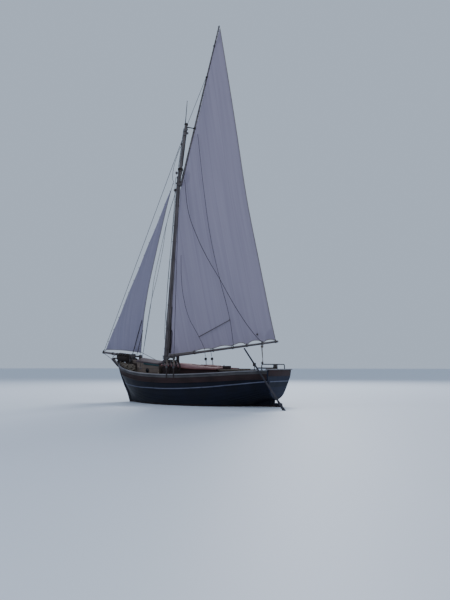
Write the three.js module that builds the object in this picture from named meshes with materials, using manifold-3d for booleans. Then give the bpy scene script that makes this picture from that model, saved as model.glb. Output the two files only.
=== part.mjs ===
// A gaff-rigged wooden sailing launch, afloat, with her sails set.
// Millimetres, +X to the bow, +Y to port, +Z up, origin amidships on the waterline.
import * as THREE from "three";
import { mergeVertices } from "three/addons/utils/BufferGeometryUtils.js";
import Module from "manifold-3d";

const wasm = await Module();
wasm.setup();

// Driving dimensions of the hull
const TOUCH = 0.3; // gap between pieces that bear on each other
const RUN = 6; // gap between pieces that move past each other
const KEEL_HALF = 60;
const DECK_THICK = 30;
const DECK_CAMBER = 60;
const COVERING_BOARD = 120;
const BULWARK_HEIGHT = 190;
const BULWARK_THICK = 45;
const CAP_THICK = 38;
const CAP_WIDTH = 115;
const CAP_OVERHANG = 30;
const WALE_DEPTH = 85;
const WALE_OUT = 38;
const STRIPE_DEPTH = 34;
const STRIPE_OUT = 14;
const STEM_THICK = 140;
const TRANSOM_THICK = 40;
const TRANSOM_TUCK = 250;
const TRANSOM_X = -3440;
const TRANSOM_RAKE = 0.126;
const RINGS = 28;

const KEEL_HEEL = -920;
const KEEL_TOE = -700;
const FOREFOOT_X = 2080;
const STEM_HALF = 55;
const STEM_TOP = 1780;
const STEM_SHOULDER = 1400;
const POST_HALF = 55;
const POST_THICK = 110;
const POST_TOP = 60;
const POST_MEETS_RABBET = 100;
const SHOE_TOP = -870;
const SHOE_AFT = -60;
const BULWARK_FLARE = 8;
const MEETING = 10; // half the gap where the two sides come together at the stem
const TRANSOM_LIP = 12;
const TAFFRAIL = { thick: 34, fore: -45, aft: 30, beyond: 45 };
const STERN_STRIPE = { z: 835, half: 700, halfLow: 694 };
const ABOVE_ALL = 2000; // a height over every deck fitting, for cuts from above

// Driving dimensions of the deck fittings
const HOLD = { fore: 720, aft: -1500, half: 780, wall: 35, floor: 120, shelf: 700 };
const WELL = { fore: -2450, aft: -3080, half: 520, floor: 560 };
const AFT_HATCH = { fore: -1560, aft: -2350, half: 620, base: 780, top: 1250 };
const AFT_TOP = { thick: 34, overhang: 25, fore: 20 };
const CUDDY = { fore: 2200, aft: 950, foreHalf: 430, aftHalf: 700, base: 760 };
const CUDDY_ROOF = { edgeAft: 1455, edgeFore: 1565, crownAft: 1490, crownFore: 1680, thick: 40,
  overhang: 24, fore: 30 };
const ROOF = { thick: 34, overhang: 30, aft: 60, fore: 50 };
const ROOF_EDGE = [[-1600, 1285], [-1000, 1297], [-500, 1303], [300, 1390], [900, 1440]];
const ROOF_CROWN = [[-1600, 1300], [-200, 1425], [300, 1478], [900, 1486]];
const ROOF_STATIONS = [-1100, -700, -300, 100, 450];
const CUT_DEPTH = 900; // how far a roof's shape is carried on to trim what meets it
const COAMING = { top: 1130, base: 880, thick: 28 };
const BENCH = { aft: -3079, fore: -2860, low: 770, high: 802 };
const FORE_BOX = { fore: 2500, aft: 2240, half: 290, top: 1590, base: 900 };
const SLIDE = { fore: -760, aft: -1400, half: 300, runner: 40, runnerFore: -240, above: 8,
  rim: 30, thick: 24, lap: 12 };
const FIFE = { fore: 920, aft: 835, half: 380, top: 1750, crossbar: 1400, post: 45, rail: 34,
  overhang: 80 };
const WINDLASS = { x: 2620, half: 300, top: 1800, crossbar: 1742, crossHalf: 360, barrel: 1500,
  radius: 56, cheek: 38, cheekLong: 50, bar: 35, axle: 26, axleOut: 70, axleGap: 0.8 };
const SPRIT_BITT = { aft: 2682, half: 75, top: 1840, gap: 7 };
const GUARD = { x: -3360, top: 1420, radius: 18, inset: 27, bend: 60 };

// Driving dimensions of the spars
const MAST_FOOT = [1215, 0, 770];
const MAST_BEND = [630, 0, 8400]; // above here the pole leans further aft
const MAST_TOP = [306, 0, 10620];
const MAST_RADIUS = [98, 60];
const BEND_LAP = 10; // how far each length of the pole runs into the other at the bend
const CUT_PAST = 20; // how far a hole for the pole runs past its ends
const BOOM_END = [-3540, 0, 2190];
const BOOM_Z = 1715;
const BOOM_RADIUS = [52, 34];
const GAFF_HEEL = [520, 0, 8300];
const GAFF_PEAK = [-1190, 0, 14240];
const GAFF_RADIUS = [42, 26];
const BOOM_JAWS = { reach: 210, horns: 40, half: 36, rise: 38 };
const GAFF_JAWS = { reach: 150, horns: 36, half: 28, rise: 48 };
const SADDLE = { depth: 40, out: 36 };
const JIB_TACK = [4180, 0, 2010];
const JIB_HEAD = [860, 0, 8450];
const JIB_CLEW = [2370, 1880];
const SPRIT_HEEL = [2762, 0, 1742];
const SPRIT_TIP = [4325, 0, 1922];
const SPRIT_RADIUS = [58, 40];
const HOUNDS = { z: 8900, rise: 45, out: 34, eye: 20, eyeApart: 24 };
const MAST_CAP = { high: 70, radius: 74, radiusTop: 70, staffFoot: [346, 0, 10680],
  staffTop: [262, 0, 11600], staffRadius: 17, staffTip: 11 };
const STAY_RADIUS = 9;
const STAY_BELOW_TOP = 220;
const SPRIT_BAND = { aft: 4262, fore: 4305, radius: 58, stay: 4285 };
const BOBSTAY = [[3840, 0, 1645], [4275, 0, 1890]];
const BEAK_HALF = 26;
const SHROUDS = [{ name: "fore", x: 160, ahead: 1 }, { name: "aft", x: -140, ahead: -1 }];
const DEADEYE = { upper: 1640, lower: 1330, radius: 52, half: 19 };
const CHAINPLATE = { half: 25, thick: 12 };

// Driving dimensions of the steering gear and of the sweep
const RUDDER_TOP = [-3440, 0, 1400];
const RUDDER_FOOT = [-3300, 0, -850];
const STOCK_RADIUS = 40;
const STOCK_TOP = 1235;
const STOCK_ABOVE_SHOE = 3;
const TRUNK_GAP = 5;
const BLADE = { low: -860, high: 130, chordLow: 560, chordHigh: 300, half: 24 };
const HEAD = { mid: 1320, aft: 58, fore: 70, half: 46, top: 1400, gap: 3 };
const TILLER = { aftZ: 1288, end: [-2690, 0, 1300], radius: 30, tip: 20 };
const SWEEP_PIVOT = [-3112, 905, 1420];
const SWEEP_HANDLE = [-2625, 710, 1950];
const SWEEP_BLADE = [-4065, 1287, 382];
const SWEEP_TIP = [-4627, 1513, -230];
const SWEEP_RADIUS = 30;
const HANDLE_RADIUS = 26;
const SWEEP_BOARD = { length: 850, halfFoot: 75, halfHead: 26, half: 11 };
const SOCKET = { radius: 34, height: 26 };
const CRUTCH = { pin: 13, long: 26, half: 62, low: 66, high: 44, mouth: 31, seat: 4, neck: 30 };

// Driving dimensions of the sails
const SAIL_HALF = 6;
const LUFF_GAP = 14;
const FOOT_ABOVE_BOOM = 44;
const JIB_HALF = 5;
const PENNANT = { low: 1953.3, high: 2050, radius: 10 };

const COLOURS = {
  navy: [0x10182b, 0.55],
  brown: [0x3b2118, 0.7],
  greyWood: [0x6e6357, 0.85],
  paleLine: [0x9a9aa4, 0.7],
  deckWood: [0x7d6a54, 0.85],
  redRoof: [0x7c4336, 0.75],
  tan: [0x8f7350, 0.8],
  teal: [0x2f5f57, 0.6],
  spar: [0x6a5a4a, 0.75],
  iron: [0x33302d, 0.6],
  sail: [0xd9d6dc, 0.9],
  rope: [0x8c8068, 0.9],
};

const boat = new THREE.Group();

function put(name, solid, colour) {
  const [hex, roughness] = COLOURS[colour];
  const metalness = colour === "iron" ? 0.6 : 0;
  const material = new THREE.MeshStandardMaterial({ color: hex, roughness, metalness });
  const mesh = new THREE.Mesh(geometryOf(solid), material);
  mesh.name = name;
  boat.add(mesh);
  return solid;
}

function solidOf(geometry) {
  const plain = geometry.index ? geometry.toNonIndexed() : geometry;
  const bare = new THREE.BufferGeometry();
  bare.setAttribute("position", plain.getAttribute("position"));
  const merged = mergeVertices(bare, 1e-3);
  const vertProperties = merged.attributes.position.array;
  const corners = [...merged.index.array];
  const made = (order) =>
    new wasm.Manifold(new wasm.Mesh({ numProp: 3, vertProperties, triVerts: new Uint32Array(order) }));
  const solid = made(corners);
  return solid.volume() > 0 ? solid : made(corners.reverse());
}

function geometryOf(solid) {
  const mesh = solid.getMesh();
  const geometry = new THREE.BufferGeometry();
  geometry.setAttribute("position", new THREE.BufferAttribute(mesh.vertProperties, 3));
  geometry.setIndex(new THREE.BufferAttribute(mesh.triVerts, 1));
  geometry.computeVertexNormals();
  return geometry;
}

const lerp = (a, b, t) => a + (b - a) * t;

function join(...solids) {
  return solids.reduce((all, next) => all.add(next));
}

// A plate whose outline is drawn in profile (x, z) and that spans yLow to yHigh.
function profile(points, yLow, yHigh) {
  const shape = new THREE.Shape(points.map(([x, z]) => new THREE.Vector2(x, z)));
  const options = { depth: yHigh - yLow, bevelEnabled: false };
  const geometry = new THREE.ExtrudeGeometry(shape, options);
  geometry.rotateX(Math.PI / 2);
  geometry.translate(0, yHigh, 0);
  return solidOf(geometry);
}

// A plate whose outline is drawn in plan (x, y) and that spans zLow to zHigh.
function plan(points, zLow, zHigh) {
  const shape = new THREE.Shape(points.map(([x, y]) => new THREE.Vector2(x, y)));
  const options = { depth: zHigh - zLow, bevelEnabled: false };
  const geometry = new THREE.ExtrudeGeometry(shape, options);
  geometry.translate(0, 0, zLow);
  return solidOf(geometry);
}

function block(xLow, xHigh, yLow, yHigh, zLow, zHigh) {
  const geometry = new THREE.BoxGeometry(xHigh - xLow, yHigh - yLow, zHigh - zLow);
  geometry.translate((xLow + xHigh) / 2, (yLow + yHigh) / 2, (zLow + zHigh) / 2);
  return solidOf(geometry);
}

// A round spar or rod between two points, tapered from one radius to the other.
function spar(from, to, radiusFrom, radiusTo = radiusFrom, sides = 12) {
  const start = new THREE.Vector3(...from);
  const along = new THREE.Vector3(...to).sub(start);
  const geometry = new THREE.CylinderGeometry(radiusTo, radiusFrom, along.length(), sides);
  geometry.translate(0, along.length() / 2, 0);
  const up = new THREE.Vector3(0, 1, 0);
  const turn = new THREE.Quaternion().setFromUnitVectors(up, along.normalize());
  geometry.applyQuaternion(turn);
  geometry.translate(start.x, start.y, start.z);
  return solidOf(geometry);
}

// Hull lines. Each row is one section: how far along it is from transom (0) to stem (1), then
// half-breadth and height at the keel rabbet, garboard, bilge, waterline and deck edge.
const SECTION_COLUMNS = ["at", "zKeel", "yGarboard", "zGarboard", "yBilge", "zBilge",
  "ySide", "zSide", "yDeck", "zDeck"];
const SECTIONS = [
  [0.0, 235, 270, 300, 470, 420, 680, 700, 845, 1005],
  [0.06, 170, 230, 240, 480, 330, 760, 560, 915, 995],
  [0.14, 20, 210, 60, 560, 190, 880, 450, 1010, 975],
  [0.32, -330, 300, -260, 860, -30, 1110, 330, 1180, 905],
  [0.5, -470, 380, -390, 990, -130, 1205, 280, 1250, 862],
  [0.64, -500, 350, -410, 930, -130, 1170, 290, 1232, 868],
  [0.78, -490, 230, -400, 680, -110, 980, 350, 1115, 930],
  [0.89, -470, 120, -380, 350, -80, 660, 420, 850, 1055],
  [0.96, -450, 75, -380, 150, -60, 320, 480, 500, 1190],
  [1.0, -430, 57, -300, 58, 0, 58, 500, 60, 1300],
];

// The outer face of the stem: height and distance forward of the origin.
const STEM_FACE = [
  [-700, 2080], [-640, 2340], [-500, 2560], [-250, 2730], [70, 2860], [310, 2950],
  [620, 3127], [1090, 3345], [1400, 3455], [STEM_TOP, 3484],
];

function between(table, at) {
  const last = table.length - 1;
  let i = 0;
  while (i < last - 1 && at > table[i + 1][0]) i += 1;
  const part = (at - table[i][0]) / (table[i + 1][0] - table[i][0]);
  return lerp(table[i][1], table[i + 1][1], part);
}

const stemFace = (z) => between(STEM_FACE, z);
const sternFace = (z) => TRANSOM_X - (z - TRANSOM_TUCK) * TRANSOM_RAKE;

// One column of the section table, faired along the length.
function fair(column, at) {
  const c = SECTION_COLUMNS.indexOf(column);
  const last = SECTIONS.length - 1;
  let i = 0;
  while (i < last - 1 && at > SECTIONS[i + 1][0]) i += 1;
  const slope = (j) => {
    const a = SECTIONS[Math.max(j - 1, 0)];
    const b = SECTIONS[Math.min(j + 1, last)];
    return (b[c] - a[c]) / (b[0] - a[0]);
  };
  const span = SECTIONS[i + 1][0] - SECTIONS[i][0];
  const t = (at - SECTIONS[i][0]) / span;
  const t2 = t * t;
  const t3 = t2 * t;
  return (2 * t3 - 3 * t2 + 1) * SECTIONS[i][c] + (t3 - 2 * t2 + t) * span * slope(i) +
    (3 * t2 - 2 * t3) * SECTIONS[i + 1][c] + (t3 - t2) * span * slope(i + 1);
}

const along = (at, z) => lerp(sternFace(z), stemFace(z) - STEM_THICK, at);

// Half-breadth of the planking at a height, from a curve through the section's five points.
function sectionCurve(at) {
  const knots = [
    new THREE.Vector2(KEEL_HALF, fair("zKeel", at)),
    new THREE.Vector2(fair("yGarboard", at), fair("zGarboard", at)),
    new THREE.Vector2(fair("yBilge", at), fair("zBilge", at)),
    new THREE.Vector2(fair("ySide", at), fair("zSide", at)),
    new THREE.Vector2(fair("yDeck", at), fair("zDeck", at)),
  ];
  const points = new THREE.SplineCurve(knots).getPoints(48);
  return (z) => {
    for (let i = 1; i < points.length; i += 1) {
      const [a, b] = [points[i - 1], points[i]];
      if (z <= b.y) return lerp(a.x, b.x, THREE.MathUtils.clamp((z - a.y) / (b.y - a.y), 0, 1));
    }
    return points[points.length - 1].x;
  };
}

// The stripe moulding's upper edge: how far below the deck edge it runs.
const STRIPE_DROP = [[0, 130], [0.14, 190], [0.32, 232], [0.5, 252], [0.7, 270], [0.85, 330],
  [0.93, 400], [1, 520]];
const BOTTOM_ROWS = 8;

// A ring of the hull at one section: points from deck centre to keel on the port side.
function hullHalf(at) {
  const zDeck = fair("zDeck", at);
  const breadth = sectionCurve(at);
  const zKeel = fair("zKeel", at);
  const stripe = zDeck - between(STRIPE_DROP, at);
  const heights = [zDeck - WALE_DEPTH, stripe, stripe - STRIPE_DEPTH];
  for (let row = 1; row <= BOTTOM_ROWS; row += 1) {
    const share = 1 - (row / BOTTOM_ROWS) ** 0.85;
    heights.push(lerp(zKeel, stripe - STRIPE_DEPTH, share));
  }
  const side = heights.map((z) => [breadth(z), z]);
  return [...deckHalf(at, -DECK_THICK - TOUCH), ...side];
}

function deckHalf(at, raised) {
  const yDeck = fair("yDeck", at);
  const zDeck = fair("zDeck", at) + raised;
  const flat = Math.min(COVERING_BOARD, 0.8 * yDeck);
  const camber = DECK_CAMBER * Math.min(1, yDeck / 1000);
  return [[0, zDeck + camber], [0.5 * (yDeck - flat), zDeck + 0.75 * camber],
    [yDeck - flat, zDeck], [yDeck, zDeck]];
}

const stations = [];
for (let ring = 0; ring <= RINGS; ring += 1) stations.push(ring / RINGS);

// Two triangles on four corners. Skin and mouldings split their faces by the same rule: from the
// higher point of one section, or the inner one of a level pair, to the lower of the next.
function fillQuad(faces, [a, b, c, d], [y, z], [nextY, nextZ]) {
  const level = Math.abs(z - nextZ) < 0.01;
  const rowFirst = level ? y < nextY : z > nextZ;
  if (rowFirst) faces.push(a, b, c, a, c, d);
  else faces.push(b, c, d, b, d, a);
}

function closedSolid(vertices, faces) {
  const geometry = new THREE.BufferGeometry();
  geometry.setAttribute("position", new THREE.Float32BufferAttribute(vertices, 3));
  geometry.setIndex(faces);
  return solidOf(geometry);
}

// A closed loft through mirrored half sections that start and end near the centreline.
function mirroredLoft(halves) {
  const vertices = [];
  const faces = [];
  const rows = halves[0].points.length;
  for (const { at, points } of halves) {
    for (const [y, z] of points) vertices.push(along(at, z), y, z);
    for (const [y, z] of points) vertices.push(along(at, z), -y, z);
  }
  const port = (ring, row) => 2 * ring * rows + row;
  const starboard = (ring, row) => (2 * ring + 1) * rows + row;
  const flat = (a, b, c, d) => faces.push(a, b, c, a, c, d);
  const lastRing = halves.length - 1;
  const lastRow = rows - 1;
  for (let ring = 0; ring < lastRing; ring += 1) {
    for (let row = 0; row < lastRow; row += 1) {
      const [here, next] = [halves[ring].points[row], halves[ring].points[row + 1]];
      fillQuad(faces, [port(ring, row), port(ring, row + 1), port(ring + 1, row + 1),
        port(ring + 1, row)], here, next);
      fillQuad(faces, [starboard(ring, row), starboard(ring + 1, row),
        starboard(ring + 1, row + 1), starboard(ring, row + 1)], here, next);
    }
    flat(port(ring, 0), port(ring + 1, 0), starboard(ring + 1, 0), starboard(ring, 0));
    flat(starboard(ring, lastRow), starboard(ring + 1, lastRow), port(ring + 1, lastRow),
      port(ring, lastRow));
  }
  for (let row = 0; row < lastRow; row += 1) {
    flat(port(0, row), starboard(0, row), starboard(0, row + 1), port(0, row + 1));
    flat(port(lastRing, row + 1), starboard(lastRing, row + 1), starboard(lastRing, row),
      port(lastRing, row));
  }
  return closedSolid(vertices, faces);
}

// A strake, rail or moulding: a closed loft through four-cornered sections on one side.
function strake(corners, side, rings = stations) {
  const vertices = [];
  const faces = [];
  const sections = rings.map((at) => corners(at));
  sections.forEach((section, i) => {
    for (const [y, z] of section) vertices.push(along(rings[i], z), side * y, z);
  });
  sections.slice(1).forEach((_, i) => {
    for (let corner = 0; corner < 4; corner += 1) {
      const next = (corner + 1) % 4;
      const quad = [4 * i + corner, 4 * i + next, 4 * i + next + 4, 4 * i + corner + 4];
      fillQuad(faces, quad, sections[i][corner], sections[i][next]);
    }
  });
  const last = 4 * (sections.length - 1);
  faces.push(3, 2, 1, 3, 1, 0, last, last + 1, last + 2, last, last + 2, last + 3);
  return closedSolid(vertices, faces);
}

function sectionAt(x, z) {
  return (x - sternFace(z)) / (stemFace(z) - STEM_THICK - sternFace(z));
}

// Points on the boat's axes
function onLine(from, to, axis, value) {
  const t = (value - from[axis]) / (to[axis] - from[axis]);
  return from.map((v, i) => lerp(v, to[i], t));
}

const lowerPole = (z) => onLine(MAST_FOOT, MAST_BEND, 2, z);
const upperPole = (z) => onLine(MAST_BEND, MAST_TOP, 2, z);
const mastAt = (z) => (z < MAST_BEND[2] ? lowerPole(z) : upperPole(z));
const mastRadius = (z) =>
  lerp(MAST_RADIUS[0], MAST_RADIUS[1], (z - MAST_FOOT[2]) / (MAST_TOP[2] - MAST_FOOT[2]));
const sprit = (x) => onLine(SPRIT_HEEL, SPRIT_TIP, 0, x);
const rudderAxis = (z) => onLine(RUDDER_FOOT, RUDDER_TOP, 2, z);

// The mast between two heights: the length below the bend and the length above it
function poleMast(low, high, gap) {
  const bend = MAST_BEND[2];
  const radius = (z) => mastRadius(z) + gap;
  return join(
    spar(lowerPole(low), lowerPole(bend + BEND_LAP), radius(low), radius(bend)),
    spar(upperPole(bend - BEND_LAP), upperPole(high), radius(bend), radius(high)),
  );
}

function grownMast(gap) {
  return poleMast(MAST_FOOT[2] - CUT_PAST, MAST_TOP[2] + CUT_PAST, gap);
}

// Hull, deck and keel
const deckHalves = (lift, depth) => stations.map((at) => {
  const top = deckHalf(at, lift);
  const bottom = deckHalf(at, lift - depth).reverse();
  return { at, points: [...top, ...bottom] };
});
const underDeck = mirroredLoft(deckHalves(TOUCH, 500));

const holdCoaming = block(HOLD.aft, HOLD.fore, -HOLD.half, HOLD.half, HOLD.shelf,
  ABOVE_ALL);
const aftCoaming = block(AFT_HATCH.aft, AFT_HATCH.fore, -AFT_HATCH.half, AFT_HATCH.half,
  AFT_HATCH.base, ABOVE_ALL);
const cuddyPlan = (grow, zLow, zHigh) => plan([
  [CUDDY.aft - grow, -CUDDY.aftHalf - grow], [CUDDY.fore + grow, -CUDDY.foreHalf - grow],
  [CUDDY.fore + grow, CUDDY.foreHalf + grow], [CUDDY.aft - grow, CUDDY.aftHalf + grow],
], zLow, zHigh);
const wellVoid = block(WELL.aft, WELL.fore, -WELL.half, WELL.half, WELL.floor, ABOVE_ALL);
const rudderTrunk = spar(RUDDER_FOOT, RUDDER_TOP, STOCK_RADIUS + TRUNK_GAP);
const holdVoid = block(HOLD.aft + HOLD.wall, HOLD.fore - HOLD.wall, -HOLD.half + HOLD.wall,
  HOLD.half - HOLD.wall, HOLD.floor, ABOVE_ALL);

const hullHalves = stations.map((at) => ({ at, points: hullHalf(at) }));
const hull = mirroredLoft(hullHalves)
  .subtract(holdCoaming)
  .subtract(holdVoid)
  .subtract(aftCoaming)
  .subtract(cuddyPlan(0, CUDDY.base, ABOVE_ALL))
  .subtract(wellVoid)
  .subtract(rudderTrunk);
put("hull", hull, "navy");

const deck = mirroredLoft(deckHalves(0, DECK_THICK))
  .subtract(holdCoaming)
  .subtract(aftCoaming)
  .subtract(cuddyPlan(0, CUDDY.base, ABOVE_ALL))
  .subtract(wellVoid)
  .subtract(rudderTrunk);
put("deck", deck, "deckWood");

const rabbet = stations.map((at) => [along(at, fair("zKeel", at)), fair("zKeel", at) - TOUCH]);
const scarf = [FOREFOOT_X, between(rabbet, FOREFOOT_X)];
const POST_AFT = STOCK_RADIUS + RUN;
const postAft = (z) => [rudderAxis(z)[0] + POST_AFT, z];
const postFore = (z, gap = 0) => [rudderAxis(z)[0] + POST_AFT + POST_THICK - gap, z];
const postHeadX = postFore(POST_MEETS_RABBET)[0];
const postHead = [postHeadX, between(rabbet, postHeadX)];
const keelTop = rabbet.filter(([x]) => x > postHead[0] && x < FOREFOOT_X).reverse();
const keel = profile([
  postFore(KEEL_HEEL), [FOREFOOT_X, KEEL_TOE], scarf, ...keelTop, postHead,
], -KEEL_HALF, KEEL_HALF);
put("keel", keel, "navy");

const sternpost = profile([
  [rudderAxis(KEEL_HEEL)[0] + SHOE_AFT, KEEL_HEEL], postFore(KEEL_HEEL, TOUCH),
  postFore(POST_TOP, TOUCH), postAft(POST_TOP), postAft(SHOE_TOP),
  [rudderAxis(SHOE_TOP)[0] + SHOE_AFT, SHOE_TOP],
], -POST_HALF, POST_HALF);
put("sternpost", sternpost, "navy");

const stemFront = STEM_FACE.map(([z, x]) => [x, z]);
const bowRows = hullHalves[RINGS].points.slice(3).map(([, z]) => z);
const stemBack = [STEM_TOP, STEM_SHOULDER, ...bowRows].map((z) => [along(1, z) + TOUCH, z]);
const forefootTop = rabbet.filter(([x]) => x > FOREFOOT_X).reverse();
const stem = profile([
  [FOREFOOT_X + TOUCH, stemFront[0][1]], ...stemFront.slice(1), ...stemBack,
  ...forefootTop, [FOREFOOT_X + TOUCH, scarf[1]],
], -STEM_HALF, STEM_HALF);
const spritBed = spar(SPRIT_HEEL, SPRIT_TIP, SPRIT_RADIUS[0] + TOUCH, SPRIT_RADIUS[1] + TOUCH);
put("stem", stem.subtract(spritBed), "navy");

// Bulwarks, rails, wales and mouldings on both sides
const flare = (at) => fair("yDeck", at) + BULWARK_FLARE;
const bulwarkCorners = (at) => {
  const y = fair("yDeck", at);
  const z = fair("zDeck", at);
  const top = z + BULWARK_HEIGHT - TOUCH;
  return [[y, z + TOUCH], [flare(at), top], [Math.max(flare(at) - BULWARK_THICK, MEETING), top],
    [Math.max(y - BULWARK_THICK, MEETING), z + TOUCH]];
};
const capCorners = (at) => {
  const y = flare(at) + CAP_OVERHANG;
  const z = fair("zDeck", at) + BULWARK_HEIGHT;
  const inner = Math.max(y - CAP_WIDTH, MEETING);
  return [[y, z], [y, z + CAP_THICK], [inner, z + CAP_THICK], [inner, z]];
};
const waleCorners = (at) => {
  const z = fair("zDeck", at) - DECK_THICK - 2 * TOUCH;
  const low = fair("zDeck", at) - WALE_DEPTH;
  const breadth = sectionCurve(at);
  const [inner, innerLow] = [fair("yDeck", at) + TOUCH, breadth(low) + TOUCH];
  return [[innerLow, low], [innerLow + WALE_OUT, low], [inner + WALE_OUT, z], [inner, z]];
};
const stripeCorners = (at) => {
  const top = fair("zDeck", at) - between(STRIPE_DROP, at);
  const breadth = sectionCurve(at);
  const high = breadth(top) + TOUCH;
  const low = breadth(top - STRIPE_DEPTH) + TOUCH;
  return [[low, top - STRIPE_DEPTH], [low + STRIPE_OUT, top - STRIPE_DEPTH],
    [high + STRIPE_OUT, top], [high, top]];
};
for (const [name, side] of [["port", 1], ["starboard", -1]]) {
  put("bulwark_" + name, strake(bulwarkCorners, side), "greyWood");
  put("cap_rail_" + name, strake(capCorners, side), "greyWood");
  put("wale_" + name, strake(waleCorners, side), "brown");
  put("stripe_" + name, strake(stripeCorners, side), "paleLine");
}

// Transom, with its cap and stripe
const transomPoints = hullHalves[0].points.slice(3);
const transomTop = fair("zDeck", 0) + BULWARK_HEIGHT + CAP_THICK;
const transomHalf = [[flare(0) + TRANSOM_LIP, transomTop], ...transomPoints.map(([y, z]) =>
  [y + TRANSOM_LIP, z])];
transomHalf.push([KEEL_HALF, transomPoints[transomPoints.length - 1][1] - TRANSOM_LIP]);

// A plate on the raked stern, drawn by its half outline from top to bottom.
function sternPlate(half, fore, aft) {
  const vertices = [];
  const faces = [];
  for (const offset of [fore, aft]) {
    for (const side of [1, -1]) {
      for (const [y, z] of half) vertices.push(sternFace(z) - offset, side * y, z);
    }
  }
  const n = half.length;
  const quad = (a, b, c, d) => faces.push(a, b, c, a, c, d);
  for (let row = 0; row < n - 1; row += 1) {
    quad(row, n + row, n + row + 1, row + 1);
    quad(2 * n + row, 2 * n + row + 1, 3 * n + row + 1, 3 * n + row);
    quad(row, row + 1, 2 * n + row + 1, 2 * n + row);
    quad(n + row, 3 * n + row, 3 * n + row + 1, n + row + 1);
  }
  quad(0, 2 * n, 3 * n, n);
  quad(n - 1, 2 * n - 1, 4 * n - 1, 3 * n - 1);
  return closedSolid(vertices, faces);
}

put("transom", sternPlate(transomHalf, TOUCH, TRANSOM_THICK), "navy");
const railHalf = flare(0) + CAP_OVERHANG + TAFFRAIL.beyond;
const railFoot = transomTop + TOUCH;
const taffrail = [[railHalf, railFoot + TAFFRAIL.thick], [railHalf, railFoot]];
put("taffrail", sternPlate(taffrail, TAFFRAIL.fore, TRANSOM_THICK + TAFFRAIL.aft), "greyWood");
const sternStripe = [[STERN_STRIPE.half, STERN_STRIPE.z + STRIPE_DEPTH],
  [STERN_STRIPE.halfLow, STERN_STRIPE.z]];
put("stripe_transom", sternPlate(sternStripe, TRANSOM_THICK + TOUCH, TRANSOM_THICK + STRIPE_OUT),
  "paleLine");

// Trunk cabin over the hold, with a cambered roof and a sliding hatch
const roofEdge = (x) => between(ROOF_EDGE, x);
const roofCrown = (x) => between(ROOF_CROWN, x);

// A cambered roof: sections across the boat with an edge and a crown height at each station.
function camberedRoof(roof) {
  const { xs, half, edge, crown, thick, lift } = roof;
  const vertices = [];
  const faces = [];
  const shares = [-1, -0.75, -0.4, 0, 0.4, 0.75, 1];
  for (const x of xs) {
    const rise = (share) => edge(x) + (crown(x) - edge(x)) * (1 - share * share) + lift;
    for (const share of shares) vertices.push(x, share * half(x), rise(share));
    for (const share of [...shares].reverse()) {
      vertices.push(x, share * half(x), rise(share) - thick);
    }
  }
  const size = 2 * shares.length;
  for (let i = 0; i < xs.length - 1; i += 1) {
    for (let k = 0; k < size; k += 1) {
      const next = (k + 1) % size;
      const base = i * size;
      const upper = k < shares.length;
      const [a, b, c, d] = [base + k, base + next, base + size + next, base + size + k];
      if (upper) faces.push(a, b, c, a, c, d);
      else faces.push(b, c, d, b, d, a);
    }
  }
  const last = (xs.length - 1) * size;
  for (let k = 0; k < shares.length - 1; k += 1) {
    const [a, b, c, d] = [k, k + 1, size - 2 - k, size - 1 - k];
    faces.push(a, c, b, a, d, c);
    faces.push(last + a, last + b, last + c, last + a, last + c, last + d);
  }
  return closedSolid(vertices, faces);
}

const trunkOuter = block(HOLD.aft + TOUCH, HOLD.fore - TOUCH, -HOLD.half + TOUCH,
  HOLD.half - TOUCH, HOLD.shelf + TOUCH, ABOVE_ALL);
const trunkRoof = {
  xs: [HOLD.aft - ROOF.aft, ...ROOF_STATIONS, HOLD.fore + ROOF.fore],
  half: () => HOLD.half + ROOF.overhang, edge: roofEdge, crown: roofCrown,
  thick: ROOF.thick, lift: 0,
};
const cutAbove = (roof) =>
  camberedRoof({ ...roof, thick: CUT_DEPTH, lift: CUT_DEPTH - roof.thick - TOUCH });
const aboveRoof = cutAbove(trunkRoof);
put("cabin_trunk", trunkOuter.subtract(aboveRoof).subtract(holdVoid), "brown");
const slideOpening = block(SLIDE.aft + SLIDE.rim, SLIDE.fore - SLIDE.rim,
  -SLIDE.half + SLIDE.rim, SLIDE.half - SLIDE.rim, HOLD.shelf, ABOVE_ALL);
put("cabin_roof", camberedRoof(trunkRoof).subtract(slideOpening), "redRoof");
const slideAt = (x, up) => [x, roofCrown(x) + SLIDE.above + up];
const runnerBlock = (side) => profile([[SLIDE.aft, HOLD.shelf], [SLIDE.runnerFore, HOLD.shelf],
  slideAt(SLIDE.runnerFore, 0), slideAt(SLIDE.aft, 0)],
side > 0 ? SLIDE.half - SLIDE.runner : -SLIDE.half,
side > 0 ? SLIDE.half : SLIDE.runner - SLIDE.half);
const belowRoof = camberedRoof({ ...trunkRoof, thick: 2 * CUT_DEPTH, lift: TOUCH });
for (const [name, side] of [["port", 1], ["starboard", -1]]) {
  put("hatch_runner_" + name, runnerBlock(side).subtract(belowRoof), "brown");
}
const slideAft = SLIDE.aft - SLIDE.lap;
put("sliding_hatch", profile([slideAt(slideAft, TOUCH), slideAt(SLIDE.fore, TOUCH),
  slideAt(SLIDE.fore, SLIDE.thick), slideAt(slideAft, SLIDE.thick)],
-SLIDE.half - SLIDE.lap, SLIDE.half + SLIDE.lap), "redRoof");

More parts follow.
